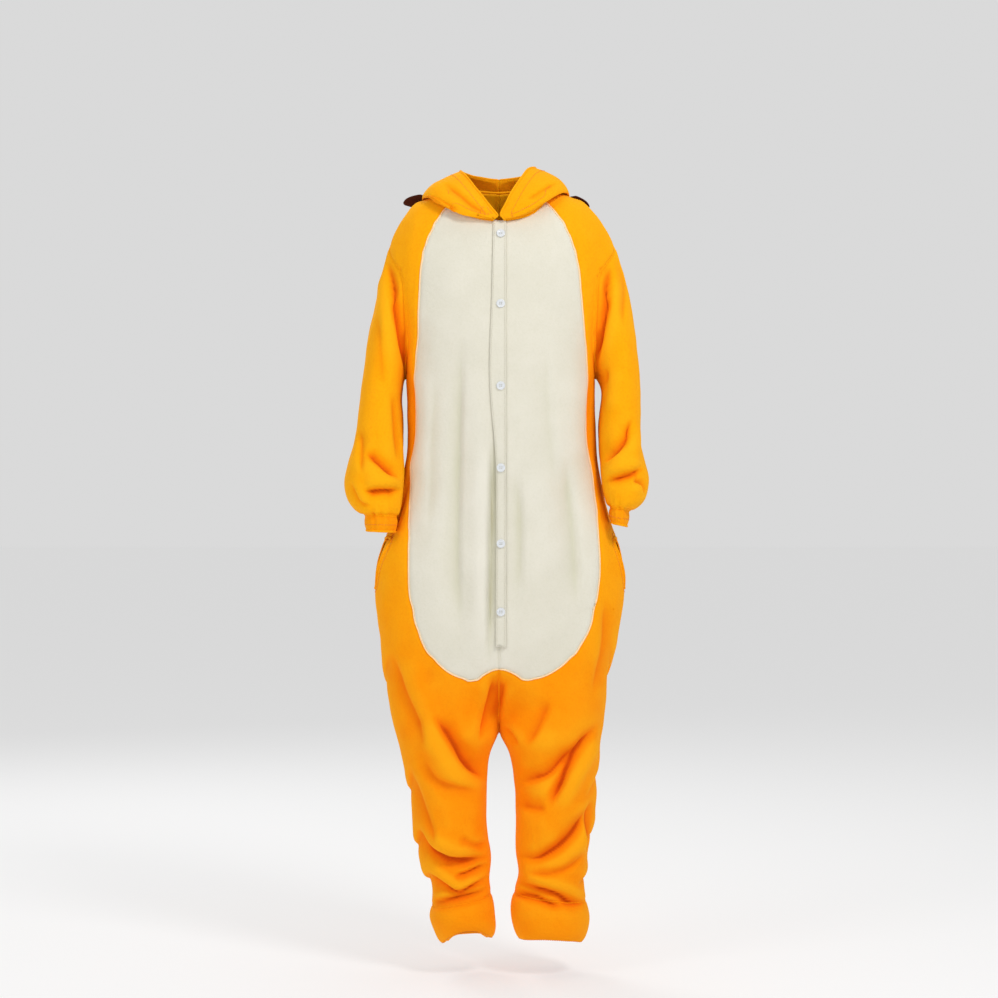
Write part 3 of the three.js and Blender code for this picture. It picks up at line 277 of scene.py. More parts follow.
# Creases seen from the wearer's outer sides: y backwards, z upwards
RIGHT_CREASES = [
    crease(0.0060, 0.016, 0.5, [(-0.070, -0.800), (0.000, -0.860), (0.070, -0.880)]),
    crease(0.0070, 0.014, 0.6, [(-0.070, -1.000), (-0.010, -1.050), (0.060, -1.040)]),
    crease(0.0090, 0.012, 0.7, [(-0.060, -1.110), (0.000, -1.150), (0.060, -1.130)]),
    crease(0.0080, 0.009, 0.6, [(-0.050, -1.195), (0.010, -1.212), (0.055, -1.196)]),
    crease(0.0050, 0.018, -0.4, [(-0.020, -0.420), (-0.012, -0.540), (-0.030, -0.590)]),
    # where the wrist rests against the side
    crease(0.0098, 0.022, 0.1, [(-0.062, -0.470), (-0.056, -0.520), (-0.052, -0.575), (-0.046, -0.625)]),
]
LEFT_CREASES = [
    crease(0.0060, 0.016, 0.5, [(-0.060, -0.780), (0.010, -0.850), (0.080, -0.870)]),
    crease(0.0080, 0.014, 0.6, [(-0.075, -1.060), (-0.010, -1.020), (0.060, -1.040)]),
    crease(0.0085, 0.011, 0.6, [(-0.060, -1.150), (0.000, -1.120), (0.065, -1.136)]),
    crease(0.0090, 0.009, 0.7, [(-0.055, -1.212), (0.010, -1.198), (0.060, -1.208)]),
    crease(0.0050, 0.018, 0.4, [(-0.015, -0.430), (-0.022, -0.520), (-0.010, -0.590)]),
]

# Creases of the sleeves, in the same views
SLEEVE_FRONT = [
    crease(0.0100, 0.011, -0.7, [(-0.200, -0.100), (-0.186, -0.185), (-0.172, -0.255), (-0.158, -0.337)]),
    crease(0.0050, 0.012, -0.5, [(-0.187, -0.345), (-0.180, -0.397), (-0.174, -0.470)]),
    crease(0.0100, 0.011, -0.7, [(-0.236, -0.447), (-0.213, -0.467), (-0.189, -0.485), (-0.170, -0.496)]),
    crease(0.0110, 0.008, 0.7, [(-0.236, -0.519), (-0.206, -0.516), (-0.168, -0.517)]),
    crease(0.0050, 0.010, -0.5, [(-0.245, -0.405), (-0.242, -0.453), (-0.236, -0.492)]),
    crease(0.0035, 0.018, 0.4, [(-0.214, -0.200), (-0.208, -0.270), (-0.200, -0.340)]),
    crease(0.0045, 0.008, 0.5, [(-0.262, -0.500), (-0.246, -0.536), (-0.220, -0.546)]),
    crease(0.0110, 0.010, 0.8, [
        (0.200, -0.118), (0.194, -0.171), (0.185, -0.217),
        (0.174, -0.270), (0.165, -0.310),
    ]),
    crease(0.0075, 0.010, 0.6, [(0.188, -0.300), (0.183, -0.340), (0.177, -0.382)]),
    crease(0.0100, 0.011, 0.7, [(0.234, -0.390), (0.224, -0.425), (0.206, -0.446), (0.176, -0.471)]),
    crease(0.0110, 0.008, -0.7, [(0.256, -0.476), (0.234, -0.485), (0.210, -0.492), (0.183, -0.501)]),
    crease(0.0075, 0.008, -0.6, [(0.232, -0.499), (0.252, -0.506), (0.256, -0.526)]),
    crease(0.0040, 0.016, 0.4, [(0.224, -0.090), (0.222, -0.160), (0.216, -0.230)]),
]
SLEEVE_BACK = [
    crease(0.0050, 0.016, 0.5, [(-0.206, -0.120), (-0.194, -0.210), (-0.186, -0.320)]),
    crease(0.0075, 0.012, 0.6, [(-0.250, -0.356), (-0.222, -0.398), (-0.176, -0.412)]),
    crease(0.0065, 0.010, 0.6, [(-0.256, -0.448), (-0.224, -0.470), (-0.182, -0.462)]),
    crease(0.0050, 0.009, 0.5, [(-0.240, -0.506), (-0.206, -0.520), (-0.180, -0.516)]),
    crease(0.0045, 0.016, -0.5, [(0.216, -0.170), (0.206, -0.250), (0.194, -0.330)]),
    crease(0.0080, 0.013, -0.6, [(0.250, -0.392), (0.226, -0.424), (0.186, -0.428)]),
    crease(0.0060, 0.010, -0.6, [(0.240, -0.470), (0.212, -0.488), (0.190, -0.484)]),
]

# Creases of the hood
HOOD_FRONT = [
    crease(0.0060, 0.009, 0.7, [(-0.100, 0.030), (-0.072, 0.006), (-0.040, -0.022), (-0.018, -0.036)]),
    crease(0.0045, 0.010, 0.5, [(-0.140, 0.004), (-0.106, -0.010), (-0.066, -0.030)]),
    crease(0.0040, 0.010, -0.5, [(0.106, 0.028), (0.076, 0.010), (0.046, -0.010)]),
]
HOOD_BACK = [
    crease(0.0060, 0.018, 0.5, [(-0.112, 0.010), (-0.084, -0.030), (-0.040, -0.062), (-0.008, -0.070)]),
    crease(0.0055, 0.016, -0.5, [(0.112, 0.000), (0.080, -0.044), (0.036, -0.086)]),
    crease(0.0045, 0.014, 0.5, [(-0.080, -0.090), (-0.050, -0.128), (-0.010, -0.150)]),
    crease(0.0045, 0.013, -0.5, [(0.070, -0.110), (0.044, -0.146), (0.014, -0.160)]),
]


def smooth(t):
    t = np.clip(t, 0, 1)
    return t * t * (3 - 2 * t)


def between(value, start, end):
    """0 at the start, 1 at the end, and a soft change between them."""
    return smooth((value - start) / (end - start))


def linear(red, green, blue):
    """A screen colour from 0 to 255 as the light that shaders count in."""
    def one(value):
        value /= 255
        return value / 12.92 if value <= 0.04045 else ((value + 0.055) / 1.055) ** 2.4
    return (one(red), one(green), one(blue), 1)


def kind_of(node):
    return node.replace("_right", "").replace("_left", "")


# Sheets from the frame's walls

def outer_side(node):
    """One side of a node's wall: the larger one, without the rim and the other side."""
    side = bmesh.new()
    side.from_mesh(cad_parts[node].data)
    bmesh.ops.remove_doubles(side, verts=side.verts, dist=WALL_SLACK / 2)
    rim = set()
    for edge in side.edges:
        if abs(edge.calc_length() - WALL) < WALL_SLACK:
            rim.update(edge.link_faces)
    bmesh.ops.delete(side, geom=list(rim), context="FACES")
    left = set(side.faces)
    largest, most = set(), 0
    while left:
        group, edge_of_group = set(), [left.pop()]
        while edge_of_group:
            face = edge_of_group.pop()
            group.add(face)
            for edge in face.edges:
                for other in edge.link_faces:
                    if other in left:
                        left.remove(other)
                        edge_of_group.append(other)
        area = sum(face.calc_area() for face in group)
        if area > most:
            largest, most = group, area
    bmesh.ops.delete(side, geom=[f for f in side.faces if f not in largest], context="FACES")
    return side


def sewn_sheet(nodes):
    """One sheet of four-cornered faces from several nodes; a face's material number is its node's place."""
    whole = bmesh.new()
    for number, node in enumerate(nodes):
        side = outer_side(node)
        for face in side.faces:
            face.material_index = number
        part = bpy.data.meshes.new(node + "_side")
        side.to_mesh(part)
        side.free()
        whole.from_mesh(part)
        bpy.data.meshes.remove(part)
    bmesh.ops.remove_doubles(whole, verts=whole.verts, dist=SEAM_GAP)
    bmesh.ops.join_triangles(
        whole, faces=whole.faces, cmp_materials=True,
        angle_face_threshold=math.pi, angle_shape_threshold=math.pi,
    )
    return whole


def eased(sheet, rounds, share):
    """Takes small kinks out of a sheet, its edges left where they are."""
    inner = [vert for vert in sheet.verts if not vert.is_boundary]
    for _ in range(rounds):
        bmesh.ops.smooth_vert(
            sheet, verts=inner, factor=share, use_axis_x=True, use_axis_y=True, use_axis_z=True,
        )


def subdivided(sheet, name, level):
    """The sheet as a fine, rounded mesh."""
    coarse = bpy.data.meshes.new(name + "_coarse")
    sheet.to_mesh(coarse)
    sheet.free()
    holder = bpy.data.objects.new(name + "_coarse", coarse)
    bpy.context.scene.collection.objects.link(holder)
    steps = holder.modifiers.new("round", "SUBSURF")
    steps.levels = level
    steps.render_levels = level
    steps.boundary_smooth = "PRESERVE_CORNERS"
    graph = bpy.context.evaluated_depsgraph_get()
    fine = bpy.data.meshes.new_from_object(holder.evaluated_get(graph))
    bpy.data.objects.remove(holder)
    bpy.data.meshes.remove(coarse)
    return fine


def points_of(mesh):
    flat = np.empty(len(mesh.vertices) * 3)
    mesh.vertices.foreach_get("co", flat)
    return flat.reshape(-1, 3)


def normals_of(mesh):
    flat = np.empty(len(mesh.vertices) * 3, dtype=np.float32)
    mesh.vertex_normals.foreach_get("vector", flat)
    return flat.reshape(-1, 3).astype(float)


def move_points(mesh, points):
    mesh.vertices.foreach_set("co", points.ravel())
    mesh.update()


def labels_of(mesh):
    """For each point, the panel numbers of the faces round it."""
    labels = [set() for _ in mesh.vertices]
    for face in mesh.polygons:
        for corner in face.vertices:
            labels[corner].add(face.material_index)
    return labels


def form_of(mesh):
    """A pressed mesh: its points, its surface, and the panels on each edge that is open or between two."""
    panels = {}
    for face in mesh.polygons:
        for key in face.edge_keys:
            panels.setdefault(key, []).append(face.material_index)
    edges = {}
    for key, own in panels.items():
        if len(own) == 1 or own[0] != own[1]:
            edges[key] = sorted(own)
    corners = [vert.co.copy() for vert in mesh.vertices]
    surface = BVHTree.FromPolygons(corners, [tuple(face.vertices) for face in mesh.polygons])
    return {"points": points_of(mesh), "edges": edges, "surface": surface}


def edge_runs(form, wanted):
    """The lines of points along the edges whose panels are wanted."""
    near = {}
    for key, panels in form["edges"].items():
        if wanted(panels):
            near.setdefault(key[0], set()).add(key[1])
            near.setdefault(key[1], set()).add(key[0])
    runs = []
    while near:
        start = next((point for point, others in near.items() if len(others) == 1), next(iter(near)))
        run = [start]
        while near.get(run[-1]):
            following = near[run[-1]].pop()
            near[following].discard(run[-1])
            run.append(following)
        near = {point: others for point, others in near.items() if others}
        runs.append(form["points"][run])
    return runs


# Creases, seams and soft unevenness

def curved(path):
    """The smooth line through a few points."""
    path = np.array(path)
    whole = np.vstack([2 * path[0] - path[1], path, 2 * path[-1] - path[-2]])
    t = np.linspace(0, 1, CURVE_STEPS, endpoint=False)[:, None]
    bends = []
    for before, start, end, after in zip(whole[:-3], whole[1:-2], whole[2:-1], whole[3:]):
        square = 2 * before - 5 * start + 4 * end - after
        cube = 3 * start - before - 3 * end + after
        bends.append(start + 0.5 * ((end - before) * t + square * t**2 + cube * t**3))
    return np.vstack([*bends, path[-1:]])


def crease_push(across, up, creases):
    """How far the creases press points in and the painted shade they give, by their place in the view they
    are drawn in.
    """
    push, painted_shade = np.zeros(len(across)), np.zeros(len(across))
    for one in creases:
        path, width = curved(one["path"]), one["width"]
        low, high = path.min(axis=0) - CREASE_REACH * width, path.max(axis=0) + CREASE_REACH * width
        near = np.nonzero((across > low[0]) & (across < high[0]) & (up > low[1]) & (up < high[1]))[0]
        steps = np.diff(path, axis=0)
        lengths = np.hypot(steps[:, 0], steps[:, 1])
        starts = np.concatenate([[0], np.cumsum(lengths)])
        nearest = np.full(len(near), np.inf)
        signed, along = np.zeros(len(near)), np.zeros(len(near))
        for (x, z), (dx, dz), length, start in zip(path, steps, lengths, starts):
            off_x, off_z = across[near] - x, up[near] - z
            t = np.clip((off_x * dx + off_z * dz) / length**2, 0, 1)
            off_x, off_z = off_x - t * dx, off_z - t * dz
            distance = np.hypot(off_x, off_z)
            closer = distance < nearest
            nearest[closer] = distance[closer]
            signed[closer] = (distance * np.sign(dx * off_z - dz * off_x))[closer]
            along[closer] = (start + t * length)[closer]
        ends = smooth(np.minimum(along, starts[-1] - along) / (FADE * starts[-1]) + FADE_LEFT)
        side = signed * np.sign(one["rise"]) / width
        stand = RISE_GAIN * abs(one["rise"]) * np.exp(-(((side - RIDGE_AT) / RIDGE_WIDE) ** 2))
        over = np.exp(-((side / STEEP) ** 2)) - stand
        under = np.exp(-(np.abs(side / SLOPE) ** SLOPE_POWER))
        push[near] += one["depth"] * ends * np.where(side > 0, over, under)
        # painted shade: narrow on the raised side, longer down the slope, as strong as the crease is deep
        steep_shade = np.exp(-((side / STEEP_SHADE) ** 2))
        slope_shade = np.exp(-np.abs(side / SLOPE_SHADE))
        shade = np.where(side > 0, steep_shade, slope_shade)
        painted_shade[near] = np.maximum(painted_shade[near], one["depth"] * ends * shade)
    return push, painted_shade


def facing(normals, axis, way):
    """How far the cloth faces one way along an axis: 0 edge on and beyond, 1 from half turned to it."""
    return between(way * normals[:, axis], *TURNED)


def unevenness(points, swells):
    """Soft swells over the cloth, as brushed fleece has."""
    whole = np.zeros(len(points))
    for size, amount, shift in swells:
        whole += [amount * noise.noise(Vector(p) / size) for p in points + shift]
    return whole


def nearness(points, spots):
    """The distance from each point to the nearest of the spots."""
    tree = KDTree(len(spots))
    for number, spot in enumerate(spots):
        tree.insert(spot, number)
    tree.balance()
    return np.array([tree.find(p)[2] for p in points])


def relief(mesh, rounds):
    """How far each point stands out from the cloth round it, below 0 in a trough."""
    points, normals = points_of(mesh), normals_of(mesh)
    ends = np.empty(len(mesh.edges) * 2, dtype=np.int32)
    mesh.edges.foreach_get("vertices", ends)
    first, second = ends.reshape(-1, 2).T
    count = len(points)
    beside = np.bincount(first, minlength=count) + np.bincount(second, minlength=count)
    calm = points.copy()
    for _ in range(rounds):
        for axis in range(3):
            total = np.bincount(first, calm[second, axis], count)
            total += np.bincount(second, calm[first, axis], count)
            calm[:, axis] = total / beside
    return ((points - calm) * normals).sum(axis=1)


def store_shades(mesh, painted_shade):
    """Keeps, for the fleece, the painted shade of each point in creases and hollows, and its painted
    highlight on crests.
    """
    stands = relief(mesh, RELIEF_ROUNDS)
    # painted shade in the hollows, and below it the painted highlight on the crests
    hollow_shade = RELIEF_SHARE * np.clip(-stands / RELIEF_DEEP, 0, 1)
    layers = {
        "fold_shade": np.maximum(np.clip(painted_shade / DARK_DEEP, 0, 1), hollow_shade),
        "ridge_highlight": np.clip(stands / RELIEF_HIGH, 0, 1),
    }
    for name, values in layers.items():
        layer = mesh.attributes.new(name, "FLOAT", "POINT")
        layer.data.foreach_set("value", values.astype(np.float32))


def seam_spots(points, labels, first, second):
    """The points of the seams between panels of one kind and panels of another."""
    firsts = {number for number, node in enumerate(TRUNK) if kind_of(node) == first}
    seconds = {number for number, node in enumerate(TRUNK) if kind_of(node) == second}
    return np.array([points[i] for i, own in enumerate(labels) if own & firsts and own & seconds])


def gathers(points, spots, reach, depth):
    """Uneven pleats that run from a tight seam round a limb and fade out along it."""
    push = np.zeros(len(points))
    for side in (-1, 1):
        ring = spots[spots[:, 0] * side > 0]
        centre = ring.mean(axis=0)
        away = nearness(points, ring)
        near = np.nonzero((away < 2.2 * reach) & (points[:, 0] * side > 0))[0]
        for i in near:
            turn = math.atan2(points[i][1] - centre[1], points[i][0] - centre[0])
            wave = 0
            for count, apart, change, strength in PLEATS:
                up = apart * side + change * away[i]
                wave += strength * noise.noise(Vector((count * math.cos(turn), count * math.sin(turn), up)))
            push[i] = depth * wave * math.exp(-((away[i] / reach) ** 2))
    return push


def press_body(mesh):
    labels = labels_of(mesh)
    sleeve_numbers = {TRUNK.index(name) for name in SLEEVES}
    on_sleeve = np.array([len(own & sleeve_numbers) / len(own) for own in labels])
    points, normals = points_of(mesh), normals_of(mesh)
    x, y, z = points.T
    beside_trunk = SIDE_SHARE * (1 - on_sleeve)
    views = [
        ((1 - on_sleeve) * facing(normals, 1, -1), crease_push(x, z, FRONT_CREASES)),
        ((1 - on_sleeve) * facing(normals, 1, 1), crease_push(x, z, BACK_CREASES)),
        (beside_trunk * facing(normals, 0, -1) * (x < -SIDE_X), crease_push(y, z, RIGHT_CREASES)),
        (beside_trunk * facing(normals, 0, 1) * (x > SIDE_X), crease_push(y, z, LEFT_CREASES)),
        (on_sleeve * facing(normals, 1, -1), crease_push(x, z, SLEEVE_FRONT)),
        (on_sleeve * facing(normals, 1, 1), crease_push(x, z, SLEEVE_BACK)),
    ]
    push = CREASE_GAIN * sum(share * pressed for share, (pressed, shaded) in views)
    # painted shade of the creases, by the side each is seen from
    painted_shade = sum(share * shaded for share, (pressed, shaded) in views)
    wrist = seam_spots(points, labels, "sleeve", "wrist_cuff")
    push += gathers(points, wrist, GATHER_REACH, GATHER_DEPTH)
    push += unevenness(points, SWELLS)
    covered = between(z, *COVER_Z) * between(np.abs(x), *COVER_X) * between(y, *COVER_Y)
    push += UNDER_HOOD * covered
    seams = [points[i] for i, own in enumerate(labels) if len(own) > 1]
    from_seam = nearness(points, seams)
    ditch = SEAM_DEPTH * np.exp(-((from_seam / SEAM_WIDTH) ** 2))
    # painted shade along the seams, beside the real groove
    soft = SEAM_DEPTH * SEAM_SHADE * np.exp(-((from_seam / SEAM_SHADE_WIDTH) ** 2))
    move_points(mesh, points - normals * (push + ditch)[:, None])
    # painted shade on the wrist cuffs, below the bloused sleeves
    cuff_numbers = {TRUNK.index(name) for name in SLEEVES if kind_of(name) == "wrist_cuff"}
    on_cuff = np.array([bool(own & cuff_numbers) for own in labels])
    store_shades(mesh, painted_shade + soft + CUFF_SHADE * on_cuff)


def press_hood(mesh):
    points, normals = points_of(mesh), normals_of(mesh)
    x, y, z = points.T
    front = y < HOOD_FRONT_Y
    behind = between(y, *HOOD_BEHIND_Y)
    front_push, front_painted_shade = crease_push(x, z, HOOD_FRONT)
    back_push, back_painted_shade = crease_push(x, z, HOOD_BACK)
    push = front * front_push + behind * back_push
    push += unevenness(points, HOOD_SWELLS)
    pressed = points - normals * push[:, None]
    end = between(np.abs(x), *HOOD_END_X) * between(z, *HOOD_END_Z) * (y < 0)
    pressed[:, 0] -= np.sign(x) * HOOD_CLOSE * end
    move_points(mesh, pressed)
    # painted shade of the hood's creases
    store_shades(mesh, front * front_painted_shade + behind * back_painted_shade)


# Materials

# The scales of the patterns: slow sweeps of the brush, clumps, tufts and fibres of the nap, spun thread,
# and clouds in the buttons
SWEEP = 14
CLUMP = 150
TUFT = 260
FIBRE = 620
SPUN = 400
CLOUD = 160


def blank(name):
    """A new material with its nodes, links and shader, and the place on the object."""
    material = bpy.data.materials.new(name)
    material.use_nodes = True
    nodes, links = material.node_tree.nodes, material.node_tree.links
    place = nodes.new("ShaderNodeTexCoord")
    return material, nodes, links, nodes["Principled BSDF"], place.outputs["Object"]


def mottled(name, scale, first, second):
    """A material whose colour wanders between two tones, and its shader."""
    material, nodes, links, shader, place = blank(name)
    texture = nodes.new("ShaderNodeTexNoise")
    texture.inputs["Scale"].default_value = scale
    links.new(place, texture.inputs["Vector"])
    ramp = nodes.new("ShaderNodeValToRGB")
    ramp.color_ramp.elements[0].color = first
    ramp.color_ramp.elements[1].color = second
    links.new(texture.outputs["Fac"], ramp.inputs["Fac"])
    links.new(ramp.outputs["Color"], shader.inputs["Base Color"])
    return material, shader


def fleece(name, base, low, shaded, deep, pale):
    """Brushed fleece: a short nap that lies unevenly, with a painted highlight on ridges, a painted sheen
    where it is seen edge on, and painted shade beside folds and deeper in them. Down the legs its colour
    turns darker and redder, a painted shade."""
    material, nodes, links, shader, place = blank(name)
    shader.inputs["Roughness"].default_value = 0.93
    shader.inputs["Sheen Weight"].default_value = 0.22
    shader.inputs["Sheen Roughness"].default_value = 0.45
    shader.inputs["Sheen Tint"].default_value = pale
    shader.inputs["Specular IOR Level"].default_value = 0.12

    def grain(scale, detail, roughness=0.55):
        texture = nodes.new("ShaderNodeTexNoise")
        texture.inputs["Scale"].default_value = scale
        texture.inputs["Detail"].default_value = detail
        texture.inputs["Roughness"].default_value = roughness
        links.new(place, texture.inputs["Vector"])
        return texture.outputs["Fac"]

    def mixed(first, second, share):
        mix = nodes.new("ShaderNodeMix")
        mix.data_type = "RGBA"
        for socket, value in ((mix.inputs[6], first), (mix.inputs[7], second), (mix.inputs[0], share)):
            if isinstance(value, bpy.types.NodeSocket):
                links.new(value, socket)
            else:
                socket.default_value = value
        return mix.outputs[2]

    def stretched(value, low, high, most):
        spread = nodes.new("ShaderNodeMapRange")
        spread.inputs["From Min"].default_value = low
        spread.inputs["From Max"].default_value = high
        spread.inputs["To Max"].default_value = most
        links.new(value, spread.inputs["Value"])
        return spread.outputs["Result"]

    # painted shade: darker and redder down the legs
    height = nodes.new("ShaderNodeSeparateXYZ")
    links.new(place, height.inputs["Vector"])
    leg_shaded = mixed(low, base, stretched(height.outputs["Z"], LEG_Z, WAIST_Z, 1))
    brushed = mixed(leg_shaded, pale, stretched(grain(SWEEP, 3), 0.42, 0.72, 0.22))
    napped = mixed(brushed, shaded, stretched(grain(TUFT, 2), 0.45, 0.85, 0.22))
    # painted shade beside and deep in folds, and a painted highlight on ridges, from the layers the cloth
    # keeps
    fold_shade = nodes.new("ShaderNodeAttribute")
    fold_shade.attribute_name = "fold_shade"
    ridge_highlight = nodes.new("ShaderNodeAttribute")
    ridge_highlight.attribute_name = "ridge_highlight"
    lit = mixed(napped, pale, stretched(ridge_highlight.outputs["Fac"], 0.15, 1.0, 0.45))
    beside = mixed(lit, shaded, stretched(fold_shade.outputs["Fac"], 0.05, 0.7, 0.8))
    folded = mixed(beside, deep, stretched(fold_shade.outputs["Fac"], 0.55, 1.0, 0.6))
    # painted sheen: paler where the cloth is seen edge on
    edge = nodes.new("ShaderNodeLayerWeight")
    edge.inputs["Blend"].default_value = 0.35
    seen = mixed(folded, pale, stretched(edge.outputs["Facing"], 0.35, 1.0, 0.5))
    links.new(seen, shader.inputs["Base Color"])

    fine = nodes.new("ShaderNodeBump")
    fine.inputs["Distance"].default_value = 0.0006
    fine.inputs["Strength"].default_value = 0.5
    links.new(grain(FIBRE, 3, 0.7), fine.inputs["Height"])
    clumps = nodes.new("ShaderNodeBump")
    clumps.inputs["Distance"].default_value = 0.0012
    clumps.inputs["Strength"].default_value = 0.45
    links.new(grain(CLUMP, 4), clumps.inputs["Height"])
    links.new(fine.outputs["Normal"], clumps.inputs["Normal"])
    links.new(clumps.outputs["Normal"], shader.inputs["Normal"])
    return material


def thread(name, colour, darker):
    """Spun sewing thread with a faint sheen."""
    material, shader = mottled(name, SPUN, darker, colour)
    shader.inputs["Roughness"].default_value = 0.8
    shader.inputs["Sheen Weight"].default_value = 0.2
    return material


def pearl():
    """Pale, slightly clear moulded plastic with a cloudy depth."""
    material, shader = mottled("pearl", CLOUD, linear(226, 231, 235), linear(247, 249, 251))
    shader.inputs["Roughness"].default_value = 0.22
    shader.inputs["IOR"].default_value = 1.5
    shader.inputs["Transmission Weight"].default_value = 0.15
    shader.inputs["Coat Weight"].default_value = 0.4
    shader.inputs["Coat Roughness"].default_value = 0.12
    return material


# Each fleece: its colour; its colour down the legs (for the orange, a darker, redder painted shade); the
# painted shade beside folds, which also tints its tufts; the deeper painted shade in folds; and a pale tone
# for brushed patches, the sheen's tint, painted highlights on ridges and painted sheen at the edges
ORANGE = fleece(
    "orange_fleece", linear(255, 170, 3), linear(255, 146, 0),
    linear(238, 98, 0), linear(176, 36, 0), linear(255, 184, 24),
)
CREAM = fleece(
    "cream_fleece", linear(222, 218, 202), linear(222, 218, 202),
    linear(202, 200, 172), linear(184, 166, 118), linear(238, 234, 222),
)
BROWN = fleece(
    "brown_fleece", linear(62, 24, 10), linear(62, 24, 10),
    linear(44, 14, 5), linear(26, 8, 3), linear(92, 46, 24),
)
ORANGE_THREAD = thread("orange_thread", linear(250, 138, 0), linear(214, 92, 0))
CREAM_THREAD = thread("cream_thread", linear(226, 222, 206), linear(196, 190, 168))
# paler than the cream fleece: a painted highlight along the belly seam cord
PALE_THREAD = thread("pale_thread", linear(255, 232, 196), linear(250, 208, 150))
PEARL = pearl()
SLOTS = {
    "belly": ("cream_fleece", CREAM),
    "placket": ("cream_fleece", CREAM),
    "mane": ("brown_fleece", BROWN),
}


# Pieces

def cloth_piece(node, mesh, number):
    """The faces of one panel as a piece that stands for its node, with the cloth's thickness."""
    part = bmesh.new()
    part.from_mesh(mesh)
    others = [face for face in part.faces if face.material_index != number]
    bmesh.ops.delete(part, geom=others, context="FACES")
    for face in part.faces:
        face.material_index = 0
        face.smooth = True
    own = bpy.data.meshes.new(node + "_cloth")
    part.to_mesh(own)
    part.free()
    slot, material = SLOTS.get(kind_of(node), ("orange_fleece", ORANGE))
    own.materials.clear()
    own.materials.append(material)
    piece = bpy.data.objects.new(node + "_cloth", own)
    bpy.context.scene.collection.objects.link(piece)
    wall = piece.modifiers.new("wall", "SOLIDIFY")
    wall.thickness = WALL
    wall.offset = -1
    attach(piece, "root")
    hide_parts(node)
    return piece


def make_body():
    sheet = sewn_sheet(TRUNK)
    mesh = subdivided(sheet, "body", FINE)
    press_body(mesh)
    for number, node in enumerate(TRUNK):
        cloth_piece(node, mesh, number)
    return form_of(mesh)


def make_hood():
    sheet = sewn_sheet(HOOD)
    eased(sheet, 3, 0.5)
    mesh = subdivided(sheet, "hood", FINE)
    press_hood(mesh)
    for number, node in enumerate(HOOD):
        cloth_piece(node, mesh, number)
    return form_of(mesh)


def lift_front_lock(points):
    """The mane's front lock stands up from the shoulder and points outwards."""
    x, y, z = points.T
    share = between(np.abs(x), *MANE_X) * between(y, *MANE_Y)
    share = np.where(x < 0, share, MANE_LEFT_SHARE * share)
    points[:, 0] += np.sign(x) * MANE_OUT * share
    points[:, 2] += MANE_UP * share


def make_single(node, steps):
    sheet = sewn_sheet([node])
    mesh = subdivided(sheet, node, steps)
    points, normals = points_of(mesh), normals_of(mesh)
    if kind_of(node) == "mane":
        lift_front_lock(points)
    push, painted_shade = np.zeros(len(points)), np.zeros(len(points))
    if node == "placket":
        push, painted_shade = crease_push(points[:, 0], points[:, 2], FRONT_CREASES)
        push += unevenness(points, SWELLS)
    move_points(mesh, points - normals * push[:, None])
    # painted shade: the placket's creases; the other pieces have only the painted shade of their hollows
    store_shades(mesh, painted_shade)
    cloth_piece(node, mesh, 0)
    return form_of(mesh)


# Sewing: cords along seams and rows of stitches

def trim_piece(name, corners, faces, material, slot):
    """A small piece of sewing that lies on the cloth and goes with it."""
    own = bpy.data.meshes.new(name)
    own.from_pydata([tuple(corner) for corner in corners], [], faces)
    own.materials.append(material)
    for face in own.polygons:
        face.use_smooth = True
    piece = bpy.data.objects.new(name, own)
    bpy.context.scene.collection.objects.link(piece)
    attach(piece, "root")
    return piece


def evened(path, spacing):
    """A line of points with even steps, its corners softened."""
    path = np.array(path, dtype=float)
    for _ in range(3):
        path[1:-1] = 0.5 * path[1:-1] + 0.25 * (path[:-2] + path[2:])
    lengths = np.concatenate([[0], np.cumsum(np.linalg.norm(np.diff(path, axis=0), axis=1))])
    count = max(int(lengths[-1] / spacing), 2)
    places = np.linspace(0, lengths[-1], count + 1)
    return np.column_stack([np.interp(places, lengths, path[:, axis]) for axis in range(3)])


def directions(path):
    along = np.gradient(path, axis=0)
    return along / np.linalg.norm(along, axis=1)[:, None]


def tube(path, radius, sides):
    """A closed round cord along a line: its corners and faces."""
    corners, faces = [], []
    last = len(path) - 1
    for number, (centre, way) in enumerate(zip(path, directions(path))):
        level = np.cross(way, (0.31, 0.17, 0.93))
        level /= np.linalg.norm(level)
        over = np.cross(way, level)
        girth = radius * (0.45 if number in (0, last) else 1)
        for corner in range(sides):
            turn = 2 * math.pi * corner / sides
            corners.append(centre + girth * (math.cos(turn) * level + math.sin(turn) * over))
    for ring in range(last):
        for corner in range(sides):
            a, b = ring * sides + corner, ring * sides + (corner + 1) % sides
            faces.append((a, b, b + sides, a + sides))
    faces.append(tuple(reversed(range(sides))))
    faces.append(tuple(range(last * sides, (last + 1) * sides)))
    return corners, faces


def joined(shapes):
    """The corners and faces of several shapes as one."""
    corners, faces = [], []
    for own_corners, own_faces in shapes:
        start = len(corners)
        corners.extend(own_corners)
        faces.extend(tuple(start + corner for corner in face) for face in own_faces)
    return corners, faces


def laid_on(path, surface, height):
    """The line laid on a surface, at a height above it."""
    laid = []
    for point in path:
        spot, normal, _, _ = surface.find_nearest(Vector(point))
        laid.append(np.array(spot + normal * height))
    return np.array(laid)


def beside(path, surface, inset):
    """A line on the surface beside an edge of it, on the side where there is cloth."""
    sideways = []
    for point, way in zip(path, directions(path)):
        normal = surface.find_nearest(Vector(point))[1]
        sideways.append(np.cross(np.array(normal), way))
    sideways = np.array(sideways)
    best, least = path, math.inf
    for sign in (-1, 1):
        line = path + sign * inset * sideways
        laid = laid_on(line, surface, 0)
        off = np.linalg.norm(line - laid, axis=1).mean()
        if off < least:
            best, least = laid, off
    return best


